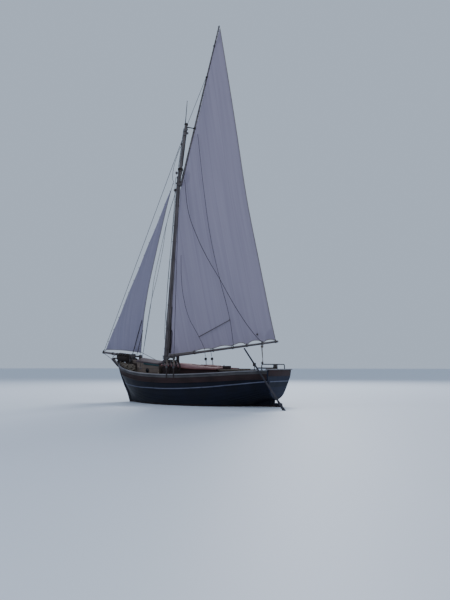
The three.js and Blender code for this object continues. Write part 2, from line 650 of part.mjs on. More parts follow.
// Raised deck aft of the cabin, and the steering well with its coaming and bench
put("aft_trunk", block(AFT_HATCH.aft + TOUCH, AFT_HATCH.fore - TOUCH, -AFT_HATCH.half + TOUCH,
  AFT_HATCH.half - TOUCH, AFT_HATCH.base + TOUCH, AFT_HATCH.top - AFT_TOP.thick), "brown");
const topHalf = AFT_HATCH.half + AFT_TOP.overhang;
put("aft_trunk_top", block(AFT_HATCH.aft - AFT_TOP.overhang, AFT_HATCH.fore + AFT_TOP.fore,
  -topHalf, topHalf, AFT_HATCH.top - AFT_TOP.thick + TOUCH, AFT_HATCH.top), "deckWood");
const wellRing = block(WELL.aft + TOUCH, WELL.fore - TOUCH, -WELL.half + TOUCH,
  WELL.half - TOUCH, COAMING.base, COAMING.top);
const wellInner = block(WELL.aft + COAMING.thick, WELL.fore - COAMING.thick,
  -WELL.half + COAMING.thick, WELL.half - COAMING.thick, WELL.floor, ABOVE_ALL);
put("well_coaming", wellRing.subtract(wellInner), "brown");
put("well_bench", block(BENCH.aft, BENCH.fore, -WELL.half + TOUCH, WELL.half - TOUCH,
  BENCH.low, BENCH.high), "deckWood");

// Fore cuddy, through which the mast passes, and the box before it
const mastHole = grownMast(TOUCH);
const cuddyShare = (x) => (x - CUDDY.aft) / (CUDDY.fore - CUDDY.aft);
const cuddyRoof = {
  xs: [CUDDY.aft - CUDDY_ROOF.overhang, CUDDY.fore + CUDDY_ROOF.fore],
  half: (x) => lerp(CUDDY.aftHalf, CUDDY.foreHalf, cuddyShare(x)) + CUDDY_ROOF.overhang,
  edge: (x) => lerp(CUDDY_ROOF.edgeAft, CUDDY_ROOF.edgeFore, cuddyShare(x)),
  crown: (x) => lerp(CUDDY_ROOF.crownAft, CUDDY_ROOF.crownFore, cuddyShare(x)),
  thick: CUDDY_ROOF.thick,
  lift: 0,
};
put("cuddy", cuddyPlan(-TOUCH, CUDDY.base + TOUCH, ABOVE_ALL).subtract(cutAbove(cuddyRoof))
  .subtract(mastHole), "tan");
put("cuddy_roof", camberedRoof(cuddyRoof).subtract(mastHole), "teal");
put("fore_box", block(FORE_BOX.aft, FORE_BOX.fore, -FORE_BOX.half, FORE_BOX.half,
  FORE_BOX.base, FORE_BOX.top).subtract(underDeck), "tan");

// Windlass, bowsprit bitt, bowsprit, beak and its stays
const cheek = (side) => block(WINDLASS.x - WINDLASS.cheekLong, WINDLASS.x + WINDLASS.cheekLong,
  side * WINDLASS.half - WINDLASS.cheek, side * WINDLASS.half + WINDLASS.cheek, CUDDY.base,
  WINDLASS.top);
const across = (half, radius, sides) => spar([WINDLASS.x, -half, WINDLASS.barrel],
  [WINDLASS.x, half, WINDLASS.barrel], radius, radius, sides);
const axleHalf = WINDLASS.half + WINDLASS.axleOut;
const axle = across(axleHalf, WINDLASS.axle, 24);
const axleHole = across(axleHalf + RUN, WINDLASS.axle + WINDLASS.axleGap, 24);
const crossbar = block(WINDLASS.x - WINDLASS.bar, WINDLASS.x + WINDLASS.bar, -WINDLASS.crossHalf,
  WINDLASS.crossHalf, WINDLASS.crossbar - WINDLASS.bar, WINDLASS.crossbar + WINDLASS.bar);
put("windlass_bitts", join(cheek(1), cheek(-1), crossbar).subtract(axleHole)
  .subtract(underDeck), "greyWood");
const barrelEnd = WINDLASS.half - WINDLASS.cheek - RUN;
put("windlass_barrel", join(axle, across(barrelEnd, WINDLASS.radius, 8)), "greyWood");
put("bowsprit_bitt", block(SPRIT_BITT.aft, SPRIT_HEEL[0] - SPRIT_BITT.gap - TOUCH,
  -SPRIT_BITT.half, SPRIT_BITT.half, CUDDY.base, SPRIT_BITT.top).subtract(underDeck), "greyWood");
const spritSolid = spar(SPRIT_HEEL, SPRIT_TIP, SPRIT_RADIUS[0], SPRIT_RADIUS[1]);
put("bowsprit", spritSolid, "spar");
const BEAK = [[3462, 1600], [3500, 1692], [3700, 1706], [3850, 1668], [3842, 1622], [3500, 1330],
  [3432, 1330]];
const BEAK_GAP = [[3520, 1628], [3560, 1652], [3690, 1650], [3560, 1500], [3506, 1460]];
const aheadOfStem = profile([...stemFront.slice(1).map(([x, z]) => [x + TOUCH, z]),
  [3484 + TOUCH, 2200], [4400, 2200], [4400, -640]], -100, 100);
put("beak", profile(BEAK, -BEAK_HALF, BEAK_HALF).subtract(profile(BEAK_GAP, -50, 50))
  .intersect(aheadOfStem).subtract(spritBed), "spar");
const ringRound = (gap) => spar(sprit(SPRIT_BAND.aft - gap), sprit(SPRIT_BAND.fore + gap),
  SPRIT_BAND.radius + gap);
put("bowsprit_band", ringRound(0).subtract(spritBed), "iron");
const bandHole = ringRound(TOUCH);
const beakSolid = profile(BEAK, -BEAK_HALF - TOUCH, BEAK_HALF + TOUCH);
put("bobstay", spar(...BOBSTAY, STAY_RADIUS, STAY_RADIUS, 8)
  .subtract(spritBed).subtract(bandHole).subtract(beakSolid)
  .subtract(profile([[3700, 1500], [3851, 1500], [3851, 1800], [3700, 1800]], -60, 60)), "rope");

// Mast with its cap, hounds and standing stays
const mast = poleMast(MAST_FOOT[2], MAST_TOP[2], 0);
put("mast", mast, "spar");
const capFoot = mastAt(MAST_TOP[2] + TOUCH);
const overTop = (rise) => mastAt(MAST_TOP[2] + rise);
put("mast_cap", join(
  spar(capFoot, overTop(MAST_CAP.high), MAST_CAP.radius, MAST_CAP.radiusTop),
  spar(MAST_CAP.staffFoot, MAST_CAP.staffTop, MAST_CAP.staffRadius, MAST_CAP.staffTip, 8),
), "iron");
const houndsRadius = mastRadius(HOUNDS.z) + HOUNDS.out;
const houndsRing = (gap) => spar(mastAt(HOUNDS.z - HOUNDS.rise - gap),
  mastAt(HOUNDS.z + HOUNDS.rise + gap), houndsRadius + gap);
put("hounds", houndsRing(0).subtract(mastHole), "iron");
const stayTop = mastAt(MAST_TOP[2] - STAY_BELOW_TOP);
put("forestay", spar(sprit(SPRIT_BAND.stay), stayTop, STAY_RADIUS, STAY_RADIUS, 8).subtract(mastHole)
  .subtract(bandHole).subtract(spritBed), "rope");

// Shrouds: two to a side, each with an eye at the hounds and a pair of deadeyes above its chainplate
const capZ = (at) => fair("zDeck", at) + BULWARK_HEIGHT;
const capOuter = (x) => {
  const edge = (near) => flare(sectionAt(near, 1100)) + CAP_OVERHANG;
  return Math.max(edge(x - 30), edge(x + 30));
};
function shroud(x, side, top) {
  const y = capOuter(x) + TOUCH;
  const foot = [x, side * (y + CHAINPLATE.thick / 2), DEADEYE.lower];
  const deadeye = (z) => {
    const [cx, cy] = onLine(foot, top, 2, z);
    return spar([cx, cy - DEADEYE.half, z], [cx, cy + DEADEYE.half, z], DEADEYE.radius);
  };
  const z = capZ(sectionAt(x, 1100));
  const plate = side > 0 ? [y, y + CHAINPLATE.thick] : [-y - CHAINPLATE.thick, -y];
  return join(spar(foot, top, STAY_RADIUS, STAY_RADIUS, 8), deadeye(DEADEYE.upper),
    deadeye(DEADEYE.lower), block(x - CHAINPLATE.half, x + CHAINPLATE.half, ...plate, z - RUN,
      DEADEYE.lower));
}
for (const [name, side] of [["port", 1], ["starboard", -1]]) {
  const [mx, , mz] = mastAt(HOUNDS.z);
  for (const row of SHROUDS) {
    const beside = (reach) => [mx + row.ahead * HOUNDS.eyeApart, side * (houndsRadius + reach), mz];
    const eye = spar(beside(-HOUNDS.eye), beside(HOUNDS.eye), HOUNDS.eye);
    const wire = join(eye, shroud(row.x, side, beside(0))).subtract(houndsRing(TOUCH));
    put("shroud_" + name + "_" + row.name, wire, "rope");
  }
}

// Fife rail abaft the mast
const fifePost = (side) => block(FIFE.aft, FIFE.fore, side * FIFE.half - FIFE.post,
  side * FIFE.half + FIFE.post, CUDDY.base, FIFE.top);
const fifeHalf = FIFE.half + FIFE.overhang;
const fifeBar = block(FIFE.aft + 10, FIFE.fore - 10, -fifeHalf, fifeHalf,
  FIFE.crossbar - FIFE.rail, FIFE.crossbar + FIFE.rail);
put("fife_rail", join(fifePost(1), fifePost(-1), fifeBar).subtract(underDeck), "greyWood");

// Guard rail across the stern: a bent tube standing on the cap rails
function tube(points, radius, steps) {
  const path = new THREE.CatmullRomCurve3(points.map((p) => new THREE.Vector3(...p)), false,
    "centripetal");
  const circle = new THREE.Shape().absarc(0, 0, radius, 0, 2 * Math.PI);
  const options = { steps, extrudePath: path, curveSegments: 4, bevelEnabled: false };
  return solidOf(new THREE.ExtrudeGeometry(circle, options));
}
const guardHalf = flare(sectionAt(GUARD.x, 1200)) - GUARD.inset;
const guardFoot = capZ(sectionAt(GUARD.x - GUARD.radius, 1200)) + CAP_THICK + TOUCH;
const guardCorner = (side) => [
  [GUARD.x, side * guardHalf, guardFoot], [GUARD.x, side * guardHalf, GUARD.top - GUARD.bend],
  [GUARD.x, side * (guardHalf - 0.3 * GUARD.bend), GUARD.top - 0.3 * GUARD.bend],
  [GUARD.x, side * (guardHalf - GUARD.bend), GUARD.top],
];
put("stern_guard", tube([...guardCorner(1), ...guardCorner(-1).reverse()], GUARD.radius, 44),
  "iron");

// Rudder, tiller and the sweep in its crutch
const stock = spar(rudderAxis(SHOE_TOP + STOCK_ABOVE_SHOE), rudderAxis(STOCK_TOP), STOCK_RADIUS);
const bladeEdge = (z, chord) => [rudderAxis(z)[0] - chord, z];
const blade = profile([bladeEdge(BLADE.low, BLADE.chordLow), bladeEdge(BLADE.low, 0),
  bladeEdge(BLADE.high, 0), bladeEdge(BLADE.high, BLADE.chordHigh)], -BLADE.half, BLADE.half);
put("rudder", join(stock, blade), "navy");
const [headX] = rudderAxis(HEAD.mid);
put("rudder_head", block(headX - HEAD.aft, headX + HEAD.fore, -HEAD.half, HEAD.half,
  STOCK_TOP + HEAD.gap, HEAD.top), "greyWood");
put("tiller", spar([headX + HEAD.fore + 1, 0, TILLER.aftZ], TILLER.end, TILLER.radius,
  TILLER.tip), "spar");
const [pivotX, pivotY, pivotZ] = SWEEP_PIVOT;
const crutchFoot = capZ(sectionAt(pivotX - SOCKET.radius, 1200)) + CAP_THICK + TOUCH;
put("rowlock_socket", spar([pivotX, pivotY, crutchFoot],
  [pivotX, pivotY, crutchFoot + SOCKET.height], SOCKET.radius), "iron");
const sweepHole = spar(SWEEP_HANDLE, SWEEP_BLADE, HANDLE_RADIUS + TOUCH, SWEEP_RADIUS + TOUCH);
const crutch = join(
  spar([pivotX, pivotY, crutchFoot + SOCKET.height + 2 * TOUCH],
    [pivotX, pivotY, pivotZ - CRUTCH.neck], CRUTCH.pin),
  block(pivotX - CRUTCH.long, pivotX + CRUTCH.long, pivotY - CRUTCH.half, pivotY + CRUTCH.half,
    pivotZ - CRUTCH.low, pivotZ + CRUTCH.high),
).subtract(sweepHole).subtract(block(pivotX - CRUTCH.half, pivotX + CRUTCH.half,
  pivotY - CRUTCH.mouth, pivotY + CRUTCH.mouth, pivotZ - CRUTCH.seat, ABOVE_ALL));
put("sweep_crutch", crutch, "iron");
const board = SWEEP_BOARD;
const bladeBoard = profile([[-board.length, -board.halfFoot], [0, -board.halfHead],
  [0, board.halfHead], [-board.length, board.halfFoot]], -board.half, board.half);
const bladeAim = new THREE.Vector3(...SWEEP_BLADE).sub(new THREE.Vector3(...SWEEP_TIP));
const level = new THREE.Vector3(0, 0, 1).cross(bladeAim).normalize();
const upright = bladeAim.clone().normalize().cross(level);
const bladeFrame = new THREE.Matrix4().makeBasis(bladeAim.clone().normalize(), level, upright);
bladeFrame.setPosition(...SWEEP_BLADE);
const bladeMesh = bladeBoard.transform(bladeFrame.elements);
put("sweep", join(spar(SWEEP_HANDLE, SWEEP_BLADE, HANDLE_RADIUS, SWEEP_RADIUS),
  bladeMesh), "spar");

// Boom and gaff, each with jaws round the mast
const clearMast = grownMast(RUN);
const rake = Math.atan2(MAST_FOOT[0] - MAST_BEND[0], MAST_BEND[2] - MAST_FOOT[2]);
function jaws(z, { reach, horns, half, rise }, gap) {
  const width = mastRadius(z) + RUN + half;
  const turned = new THREE.Matrix4().makeRotationY(-rake).setPosition(...mastAt(z));
  return block(-reach - gap, horns, -width, width, -rise - gap, rise + gap)
    .transform(turned.elements);
}
const saddleTop = mastAt(BOOM_Z - (BOOM_JAWS.rise + 2 * TOUCH) * Math.cos(rake));
const saddleFoot = mastAt(saddleTop[2] - SADDLE.depth);
const saddleRadius = mastRadius(saddleTop[2]) + SADDLE.out;
put("boom_saddle", spar(saddleFoot, saddleTop, saddleRadius).subtract(mastHole), "greyWood");
const BOOM_HEEL = [mastAt(BOOM_Z)[0] - 150, 0, BOOM_Z + 14];
const grownBoom = (gap) => join(
  spar(BOOM_HEEL, BOOM_END, BOOM_RADIUS[0] + gap, BOOM_RADIUS[1] + gap),
  jaws(BOOM_Z, BOOM_JAWS, gap),
);
const gaffAt = (z) => onLine(GAFF_HEEL, GAFF_PEAK, 2, z);
const grownGaff = (gap) => join(
  spar(gaffAt(GAFF_HEEL[2] - gap), GAFF_PEAK, GAFF_RADIUS[0] + gap, GAFF_RADIUS[1] + gap),
  jaws(GAFF_HEEL[2], GAFF_JAWS, gap),
);
put("boom", grownBoom(0).subtract(clearMast), "spar");
put("gaff", grownGaff(0).subtract(clearMast), "spar");

// Sails
const luffAt = (z) => [mastAt(z)[0] - mastRadius(z) - LUFF_GAP, z];
const LEECH = [[-1210, 14165], [-1560, 12180], [-1940, 9880], [-2350, 7320], [-2830, 5010],
  [-3290, 2890], [-3450, 2250]];
const boomTop = (x) => [x, onLine(BOOM_HEEL, BOOM_END, 0, x)[2] + FOOT_ABOVE_BOOM];
const mainOutline = [luffAt(1800), luffAt(5000), luffAt(8200),
  [gaffAt(8700)[0], 8700], [GAFF_PEAK[0], GAFF_PEAK[2] - 20], ...LEECH, boomTop(-3400), boomTop(0)];
put("mainsail", profile(mainOutline, -SAIL_HALF, SAIL_HALF).subtract(grownGaff(TOUCH))
  .subtract(grownBoom(TOUCH)), "sail");
const JIB_LEECH = [[1230, 7350], [1890, 4930], [2110, 3960], [2250, 3150]];
const JIB_FOOT = [[3260, 1975], [3700, 1990]];
const jibSail = profile([[JIB_TACK[0], JIB_TACK[2]], [JIB_HEAD[0], JIB_HEAD[2]], ...JIB_LEECH,
  JIB_CLEW, ...JIB_FOOT], -JIB_HALF, JIB_HALF);
const jibLuff = (z) => onLine(JIB_TACK, JIB_HEAD, 2, z);
const tackPennant = spar(jibLuff(PENNANT.low), jibLuff(PENNANT.high), PENNANT.radius,
  PENNANT.radius, 8);
put("jib", join(jibSail, tackPennant).subtract(spritBed), "sail");

export default boat;
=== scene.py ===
"""A gaff-rigged wooden sailing launch afloat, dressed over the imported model. Metres, +X to bow."""
from math import atan2, cos, exp, pi, radians, sin, tan

import bpy
from mathutils import Matrix, Vector


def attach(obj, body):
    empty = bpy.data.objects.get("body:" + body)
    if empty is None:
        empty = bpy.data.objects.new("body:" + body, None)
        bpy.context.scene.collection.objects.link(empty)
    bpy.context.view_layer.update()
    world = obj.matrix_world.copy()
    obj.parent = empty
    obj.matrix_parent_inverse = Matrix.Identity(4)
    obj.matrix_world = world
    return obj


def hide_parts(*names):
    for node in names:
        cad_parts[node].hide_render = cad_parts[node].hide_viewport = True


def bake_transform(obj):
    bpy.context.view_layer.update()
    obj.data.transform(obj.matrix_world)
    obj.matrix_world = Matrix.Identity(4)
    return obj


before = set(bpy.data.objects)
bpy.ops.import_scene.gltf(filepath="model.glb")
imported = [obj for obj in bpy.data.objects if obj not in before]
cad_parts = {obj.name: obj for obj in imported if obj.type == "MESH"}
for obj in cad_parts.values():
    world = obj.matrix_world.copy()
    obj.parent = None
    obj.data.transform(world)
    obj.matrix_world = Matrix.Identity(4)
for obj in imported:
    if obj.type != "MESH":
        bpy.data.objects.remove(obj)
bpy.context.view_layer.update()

# Camera, water level and light. The boat is seen from off her port quarter, low over the water, in
# a tall view whose height takes in 53 degrees. The floor lies at the waterline.
CAMERA_PLACE, CAMERA_TILT = (-12.471, 18.348, 1.33), 6.37
FILM, LENS = 24, 24
AIMED_AT = Vector((0, 0, 5))
view_line = Vector((0.515, -0.857, tan(radians(CAMERA_TILT))))
bpy.ops.object.select_all(action="DESELECT")
bpy.ops.object.camera_add(
    location=CAMERA_PLACE, rotation=view_line.to_track_quat("-Z", "Y").to_euler()
)
camera = bpy.context.object
camera.data.sensor_fit = "VERTICAL"
camera.data.sensor_height = FILM
camera.data.lens = LENS
camera.data.clip_end = 2000
bpy.context.scene.camera = camera

bpy.ops.mesh.primitive_plane_add(size=900, location=(0, 0, 0))
floor = bpy.context.object
floor.name = "floor"
floor_paint = bpy.data.materials.new("floor_paint")
floor_paint.use_nodes = True
floor_shader = floor_paint.node_tree.nodes["Principled BSDF"]
floor_shader.inputs["Base Color"].default_value = (0.62, 0.68, 0.77, 1)
floor_shader.inputs["Roughness"].default_value = 0.55
floor.data.materials.append(floor_paint)

world = bpy.data.worlds.new("studio")
bpy.context.scene.world = world
world.use_nodes = True
world.node_tree.nodes["Background"].inputs["Color"].default_value = (0.60, 0.71, 0.88, 1)
world.node_tree.nodes["Background"].inputs["Strength"].default_value = 0.75

for aim, distance, size, power in (
    ((0.25, -0.75, 0.62), 34, 14, 9500),  # key, high behind the sails on the starboard side
    ((-0.75, 0.55, 0.38), 36, 22, 3800),  # fill from the camera's side
    ((0.9, 0.5, 0.5), 34, 16, 1600),  # from ahead
):
    place = Vector(aim).normalized() * distance + AIMED_AT
    turn = (AIMED_AT - place).to_track_quat("-Z", "Y").to_euler()
    bpy.ops.object.light_add(type="AREA", location=place, rotation=turn)
    bpy.context.object.data.size = size
    bpy.context.object.data.energy = power

# Planking: carvel strakes in dark oil paint, fastened over the frames with a seam between each
# pair. They lie on the hull's solid, drawn through the same ten sections from transom to stem.
SIDES = (("port", 1), ("starboard", -1))
SECTIONS = {
    "at": (0.0, 0.06, 0.14, 0.32, 0.5, 0.64, 0.78, 0.89, 0.96, 1.0),
    "keel_z": (0.235, 0.17, 0.02, -0.33, -0.47, -0.5, -0.49, -0.47, -0.45, -0.43),
    "garboard_y": (0.27, 0.23, 0.21, 0.3, 0.38, 0.35, 0.23, 0.12, 0.075, 0.057),
    "garboard_z": (0.3, 0.24, 0.06, -0.26, -0.39, -0.41, -0.4, -0.38, -0.38, -0.3),
    "bilge_y": (0.47, 0.48, 0.56, 0.86, 0.99, 0.93, 0.68, 0.35, 0.15, 0.058),
    "bilge_z": (0.42, 0.33, 0.19, -0.03, -0.13, -0.13, -0.11, -0.08, -0.06, 0.0),
    "side_y": (0.68, 0.76, 0.88, 1.11, 1.205, 1.17, 0.98, 0.66, 0.32, 0.058),
    "side_z": (0.7, 0.56, 0.45, 0.33, 0.28, 0.29, 0.35, 0.42, 0.48, 0.5),
    "deck_y": (0.845, 0.915, 1.01, 1.18, 1.25, 1.232, 1.115, 0.85, 0.5, 0.06),
    "deck_z": (1.005, 0.995, 0.975, 0.905, 0.862, 0.868, 0.93, 1.055, 1.19, 1.3),
}
STEM_FACE = (
    (-0.7, 2.08), (-0.64, 2.34), (-0.5, 2.56), (-0.25, 2.73), (0.07, 2.86), (0.31, 2.95),
    (0.62, 3.127), (1.09, 3.345), (1.4, 3.455), (1.78, 3.484),
)
STEM_THICK, KEEL_HALF = 0.14, 0.06
STRAKES, SEAM, PLANK_PROUD, CLEAR = 12, 0.004, 0.007, 0.0008
EASED_ANGLE, BOARD_SEAM, TIDE_TOP = radians(35), 0.006, 0.05


def spaced(start, stop, steps):
    return [start + (stop - start) * step / steps for step in range(steps + 1)]


def read_off(table, at):
    """The value at a place in a table of places and values, straight from one to the next."""
    i = 0
    while i < len(table) - 2 and at > table[i + 1][0]:
        i += 1
    share = (at - table[i][0]) / (table[i + 1][0] - table[i][0])
    return table[i][1] + (table[i + 1][1] - table[i][1]) * share


def faired(column, at):
    """The value at a share of the length, on a smooth line through the ten sections."""
    ats, values = SECTIONS["at"], SECTIONS[column]
    last = len(ats) - 1
    i = 0
    while i < last - 1 and at > ats[i + 1]:
        i += 1

    def slope(j):
        low, high = max(j - 1, 0), min(j + 1, last)
        return (values[high] - values[low]) / (ats[high] - ats[low])

    span = ats[i + 1] - ats[i]
    t = (at - ats[i]) / span
    return (
        (2 * t**3 - 3 * t**2 + 1) * values[i] + (t**3 - 2 * t**2 + t) * span * slope(i)
        + (3 * t**2 - 2 * t**3) * values[i + 1] + (t**3 - t**2) * span * slope(i + 1)
    )


def stern_x(z):
    return -3.44 - (z - 0.25) * 0.126


def hull_x(at, z):
    """How far forward a point at a share of the length and at a height lies."""
    aft = stern_x(z)
    return aft + (read_off(STEM_FACE, z) - STEM_THICK - aft) * at


def eased(knots, steps):
    """A smooth line through knots, with a number of steps from each to the next."""
    line = []
    for i in range(len(knots) - 1):
        p = [knots[min(max(i + k, 0), len(knots) - 1)] for k in (-1, 0, 1, 2)]
        v0, v1 = (p[2] - p[0]) / 2, (p[3] - p[1]) / 2
        for t in spaced(0, 1, steps)[:-1]:
            line.append((2 * p[1] - 2 * p[2] + v0 + v1) * t**3
                        + (-3 * p[1] + 3 * p[2] - 2 * v0 - v1) * t**2 + v0 * t + p[1])
    return line + [knots[-1]]


def section_line(at):
    """The section's outline from keel to deck edge, as (half-breadth, height) points."""
    knots = [Vector((KEEL_HALF, faired("keel_z", at)))]
    for part in ("garboard", "bilge", "side", "deck"):
        knots.append(Vector((faired(part + "_y", at), faired(part + "_z", at))))
    return eased(knots, 12)


def picked(*pieces):
    """Selects these pieces alone, with the first of them active, or clears the selection."""
    bpy.ops.object.select_all(action="DESELECT")
    for piece in pieces:
        piece.select_set(True)
        bpy.context.view_layer.objects.active = pieces[0]


def worked(piece, kind, **settings):
    """Changes the piece's mesh by one modifier."""
    picked(piece)
    change = piece.modifiers.new(kind.lower(), kind)
    for key, value in settings.items():
        setattr(change, key, value)
    bpy.ops.object.modifier_apply(modifier=change.name)


def laid_out(rings, solid=False):
    """A sheet of quads through rings of points, from a grid whose corners are set in place. As a
    solid, each ring is closed and both ends are filled."""
    rows = [list(ring) + ([ring[0]] if solid else []) for ring in rings]
    picked()
    bpy.ops.mesh.primitive_grid_add(x_subdivisions=len(rows[0]) - 1, y_subdivisions=len(rows) - 1)
    piece = bpy.context.object
    for vertex, point in zip(piece.data.vertices, (p for row in rows for p in row)):
        vertex.co = point
    piece.location = (0, 0, 0)
    bpy.ops.object.mode_set(mode="EDIT")
    bpy.ops.mesh.select_all(action="SELECT")
    if solid:
        bpy.ops.mesh.remove_doubles(threshold=1e-5)
        bpy.ops.mesh.select_all(action="DESELECT")
        bpy.ops.mesh.select_mode(type="EDGE")
        bpy.ops.mesh.select_non_manifold()
        bpy.ops.mesh.fill_holes(sides=0)
        bpy.ops.mesh.select_mode(type="VERT")
        bpy.ops.mesh.select_all(action="SELECT")
    bpy.ops.mesh.normals_make_consistent(inside=False)
    bpy.ops.object.mode_set(mode="OBJECT")
    return piece


def fitted(name, pieces, finish, body, *nodes, slot=None, rounded=0.0, angle=40):
    """Joins the pieces under one name, puts their place in the mesh, rounds the edges, and gives
    them a finish and, if there is one, their body. The slot argument is not used."""
    picked(*pieces)
    if len(pieces) > 1:
        bpy.ops.object.join()
    piece = bpy.context.object
    piece.name = piece.data.name = name
    bpy.ops.object.transform_apply(location=True, rotation=True, scale=True)
    if rounded:
        worked(piece, "BEVEL", width=rounded, segments=2, limit_method="ANGLE",
               angle_limit=EASED_ANGLE)
    bpy.ops.object.shade_smooth_by_angle(angle=radians(angle))
    piece.data.materials.clear()
    piece.data.materials.append(finish)
    if body:
        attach(piece, body)
    if nodes:
        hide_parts(*nodes)
    return piece


def painted(finish, *nodes):
    """Gives a finish to nodes that show as they were packed."""
    for node in nodes:
        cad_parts[node].data.materials[0] = finish


def tint(colour):
    """A colour read off as 0 to 255, as the shader wants it."""
    return tuple((c / 255) ** 2.2 for c in colour) + (1,)


def stir(tree, kind, outlet, *inputs, **settings):
    """Adds one node to a finish, and hands on what comes out of it."""
    node = tree.nodes.new("ShaderNode" + kind)
    for key, value in settings.items():
        setattr(node, key, value)
    for socket, value in inputs:
        if isinstance(value, bpy.types.NodeSocket):
            tree.links.new(value, node.inputs[socket])
        else:
            node.inputs[socket].default_value = value
    return node.outputs[outlet]


def reckoned(tree, way, *values):
    return stir(tree, "Math", 0, *enumerate(values), operation=way)


def mottled(tree, place, scale, detail, *more):
    return stir(tree, "TexNoise", "Fac", ("Vector", place), ("Scale", scale), ("Detail", detail),
                *more)


def ranged(tree, value, *ends):
    return stir(tree, "MapRange", "Result", ("Value", value), *ends)


def laid_over(tree, share, under, top):
    return stir(tree, "MixRGB", "Color", ("Fac", share), ("Color1", under), ("Color2", top))


def graded(tree, amount, low, high):
    colour = stir(tree, "ValToRGB", "Color", ("Fac", amount))
    for stop, position, value in zip(colour.node.color_ramp.elements, (0.3, 0.7), (low, high)):
        stop.position = position
        stop.color = tint(value)
    return colour


def blank(name):
    """A new finish, with its nodes and its shader."""
    finish = bpy.data.materials.new(name)
    finish.use_nodes = True
    return finish, finish.node_tree, finish.node_tree.nodes["Principled BSDF"]


def timber(name, dark, light, grain, bare=None, worn=0.62, rough=0.72, depth=0.003,
           boards=None):
    """Painted or bare wood: grain drawn out along one way, patches, worn places and board seams."""
    finish, tree, shader = blank(name)
    place = stir(tree, "TexCoord", "Object")
    drawn = stir(tree, "Mapping", "Vector", ("Vector", place), ("Scale", grain))
    height = fine = mottled(tree, drawn, 1.0, 9.0, ("Roughness", 0.62))
    tone = reckoned(tree, "ADD", fine, mottled(tree, place, 1.7, 4.0))
    tone = reckoned(tree, "MULTIPLY", tone, 0.5)
    if boards:
        axis, width = boards
        apart = stir(tree, "SeparateXYZ", axis, ("Vector", place))
        count = reckoned(tree, "DIVIDE", apart, width)
        whole = reckoned(tree, "FLOOR", count)
        own = stir(tree, "TexWhiteNoise", "Value", ("W", whole), noise_dimensions="1D")
        tone = stir(tree, "Mix", "Result", ("Factor", 0.22), ("A", tone), ("B", own))
        part = reckoned(tree, "FRACT", count)
        seam = reckoned(tree, "LESS_THAN", part, BOARD_SEAM / width)
        height = reckoned(tree, "SUBTRACT", height, seam)
    colour = graded(tree, tone, dark, light)
    if bare:
        rub = mottled(tree, drawn, 2.3, 12.0, ("Roughness", 0.7))
        rubbed = ranged(tree, rub, ("From Min", worn), ("From Max", worn + 0.05))
        colour = laid_over(tree, rubbed, colour, tint(bare))
    if boards:
        colour = laid_over(tree, seam, colour, tint((24, 20, 18)))
    tree.links.new(colour, shader.inputs["Base Color"])
    shader.inputs["Specular IOR Level"].default_value = 0.22
    gloss = ranged(tree, fine, ("To Min", rough - 0.14), ("To Max", rough + 0.14))
    tree.links.new(gloss, shader.inputs["Roughness"])
    bump = stir(tree, "Bump", "Normal", ("Height", height), ("Distance", depth), ("Strength", 0.7))
    tree.links.new(bump, shader.inputs["Normal"])
    return finish


def tide_band(finish):
    """Lays the brown of the waterline below a height, with an edge that wanders a little."""
    tree = finish.node_tree
    shader = tree.nodes["Principled BSDF"]
    over = shader.inputs["Base Color"].links[0].from_socket
    place = stir(tree, "TexCoord", "Object")
    height = stir(tree, "SeparateXYZ", "Z", ("Vector", place))
    level = reckoned(tree, "MULTIPLY_ADD", mottled(tree, place, 5.0, 6.0), 0.09, height)
    above = ranged(tree, level, ("From Min", TIDE_TOP + 0.03), ("From Max", TIDE_TOP + 0.06))
    mixed = laid_over(tree, above, tint((40, 27, 26)), over)
    tree.links.new(mixed, shader.inputs["Base Color"])
    return finish


STATIONS = spaced(0, 1, 90)
hull_paint = tide_band(timber("hull_paint", (6, 8, 18), (17, 21, 38),
                              (5, 5, 0.8), (44, 43, 50), worn=0.68, rough=0.6))
for side, hand in SIDES:
    rings = []
    for at in [0.0] + STATIONS + [1.0]:
        line = section_line(at)
        run = [0.0]
        for a, b in zip(line, line[1:]):
            run.append(run[-1] + (b - a).length)
        whole = run[-1] - 0.03
        proud = PLANK_PROUD if rings and len(rings) < len(STATIONS) + 1 else 0.0
        ring = []
        for strake in range(STRAKES):
            low, high = whole * strake / STRAKES + SEAM, whole * (strake + 1) / STRAKES - SEAM
            third = (high - low) / 3
            for reach, out in ((low, 0.0), (low, proud), (low + third, proud),
                               (high - third, proud), (high, proud), (high, 0.0)):
                i = max(j for j in range(len(run) - 1) if run[j] <= reach)
                along = line[i + 1] - line[i]
                y, z = line[i] + along * (reach - run[i]) / max(along.length, 1e-6)
                off = Vector((along.y, -along.x)).normalized() * (out + CLEAR)
                ring.append((hull_x(at, z), hand * (y + off.x), z + off.y))
        rings.append(ring)
    fitted("planking_" + side, [laid_out(rings)], hull_paint, "hull", angle=30)
painted(hull_paint, "hull", "keel", "sternpost", "stem")

# Transom: flat boards laid across the stern between the fashion timbers, with seams from side to
# side. They carry the hull's paint in a paler copy, worn in places; the paleness is painted light.
# The paler navy is painted light: the sky's light on the transom, which faces aft.
sky_lit_stern_paint = tide_band(timber("sky_lit_stern_paint", (11, 15, 28), (30, 36, 56),
                               (0.8, 5, 5), (58, 58, 66), rough=0.62, boards=("Z", 0.168)))
painted(sky_lit_stern_paint, "transom")

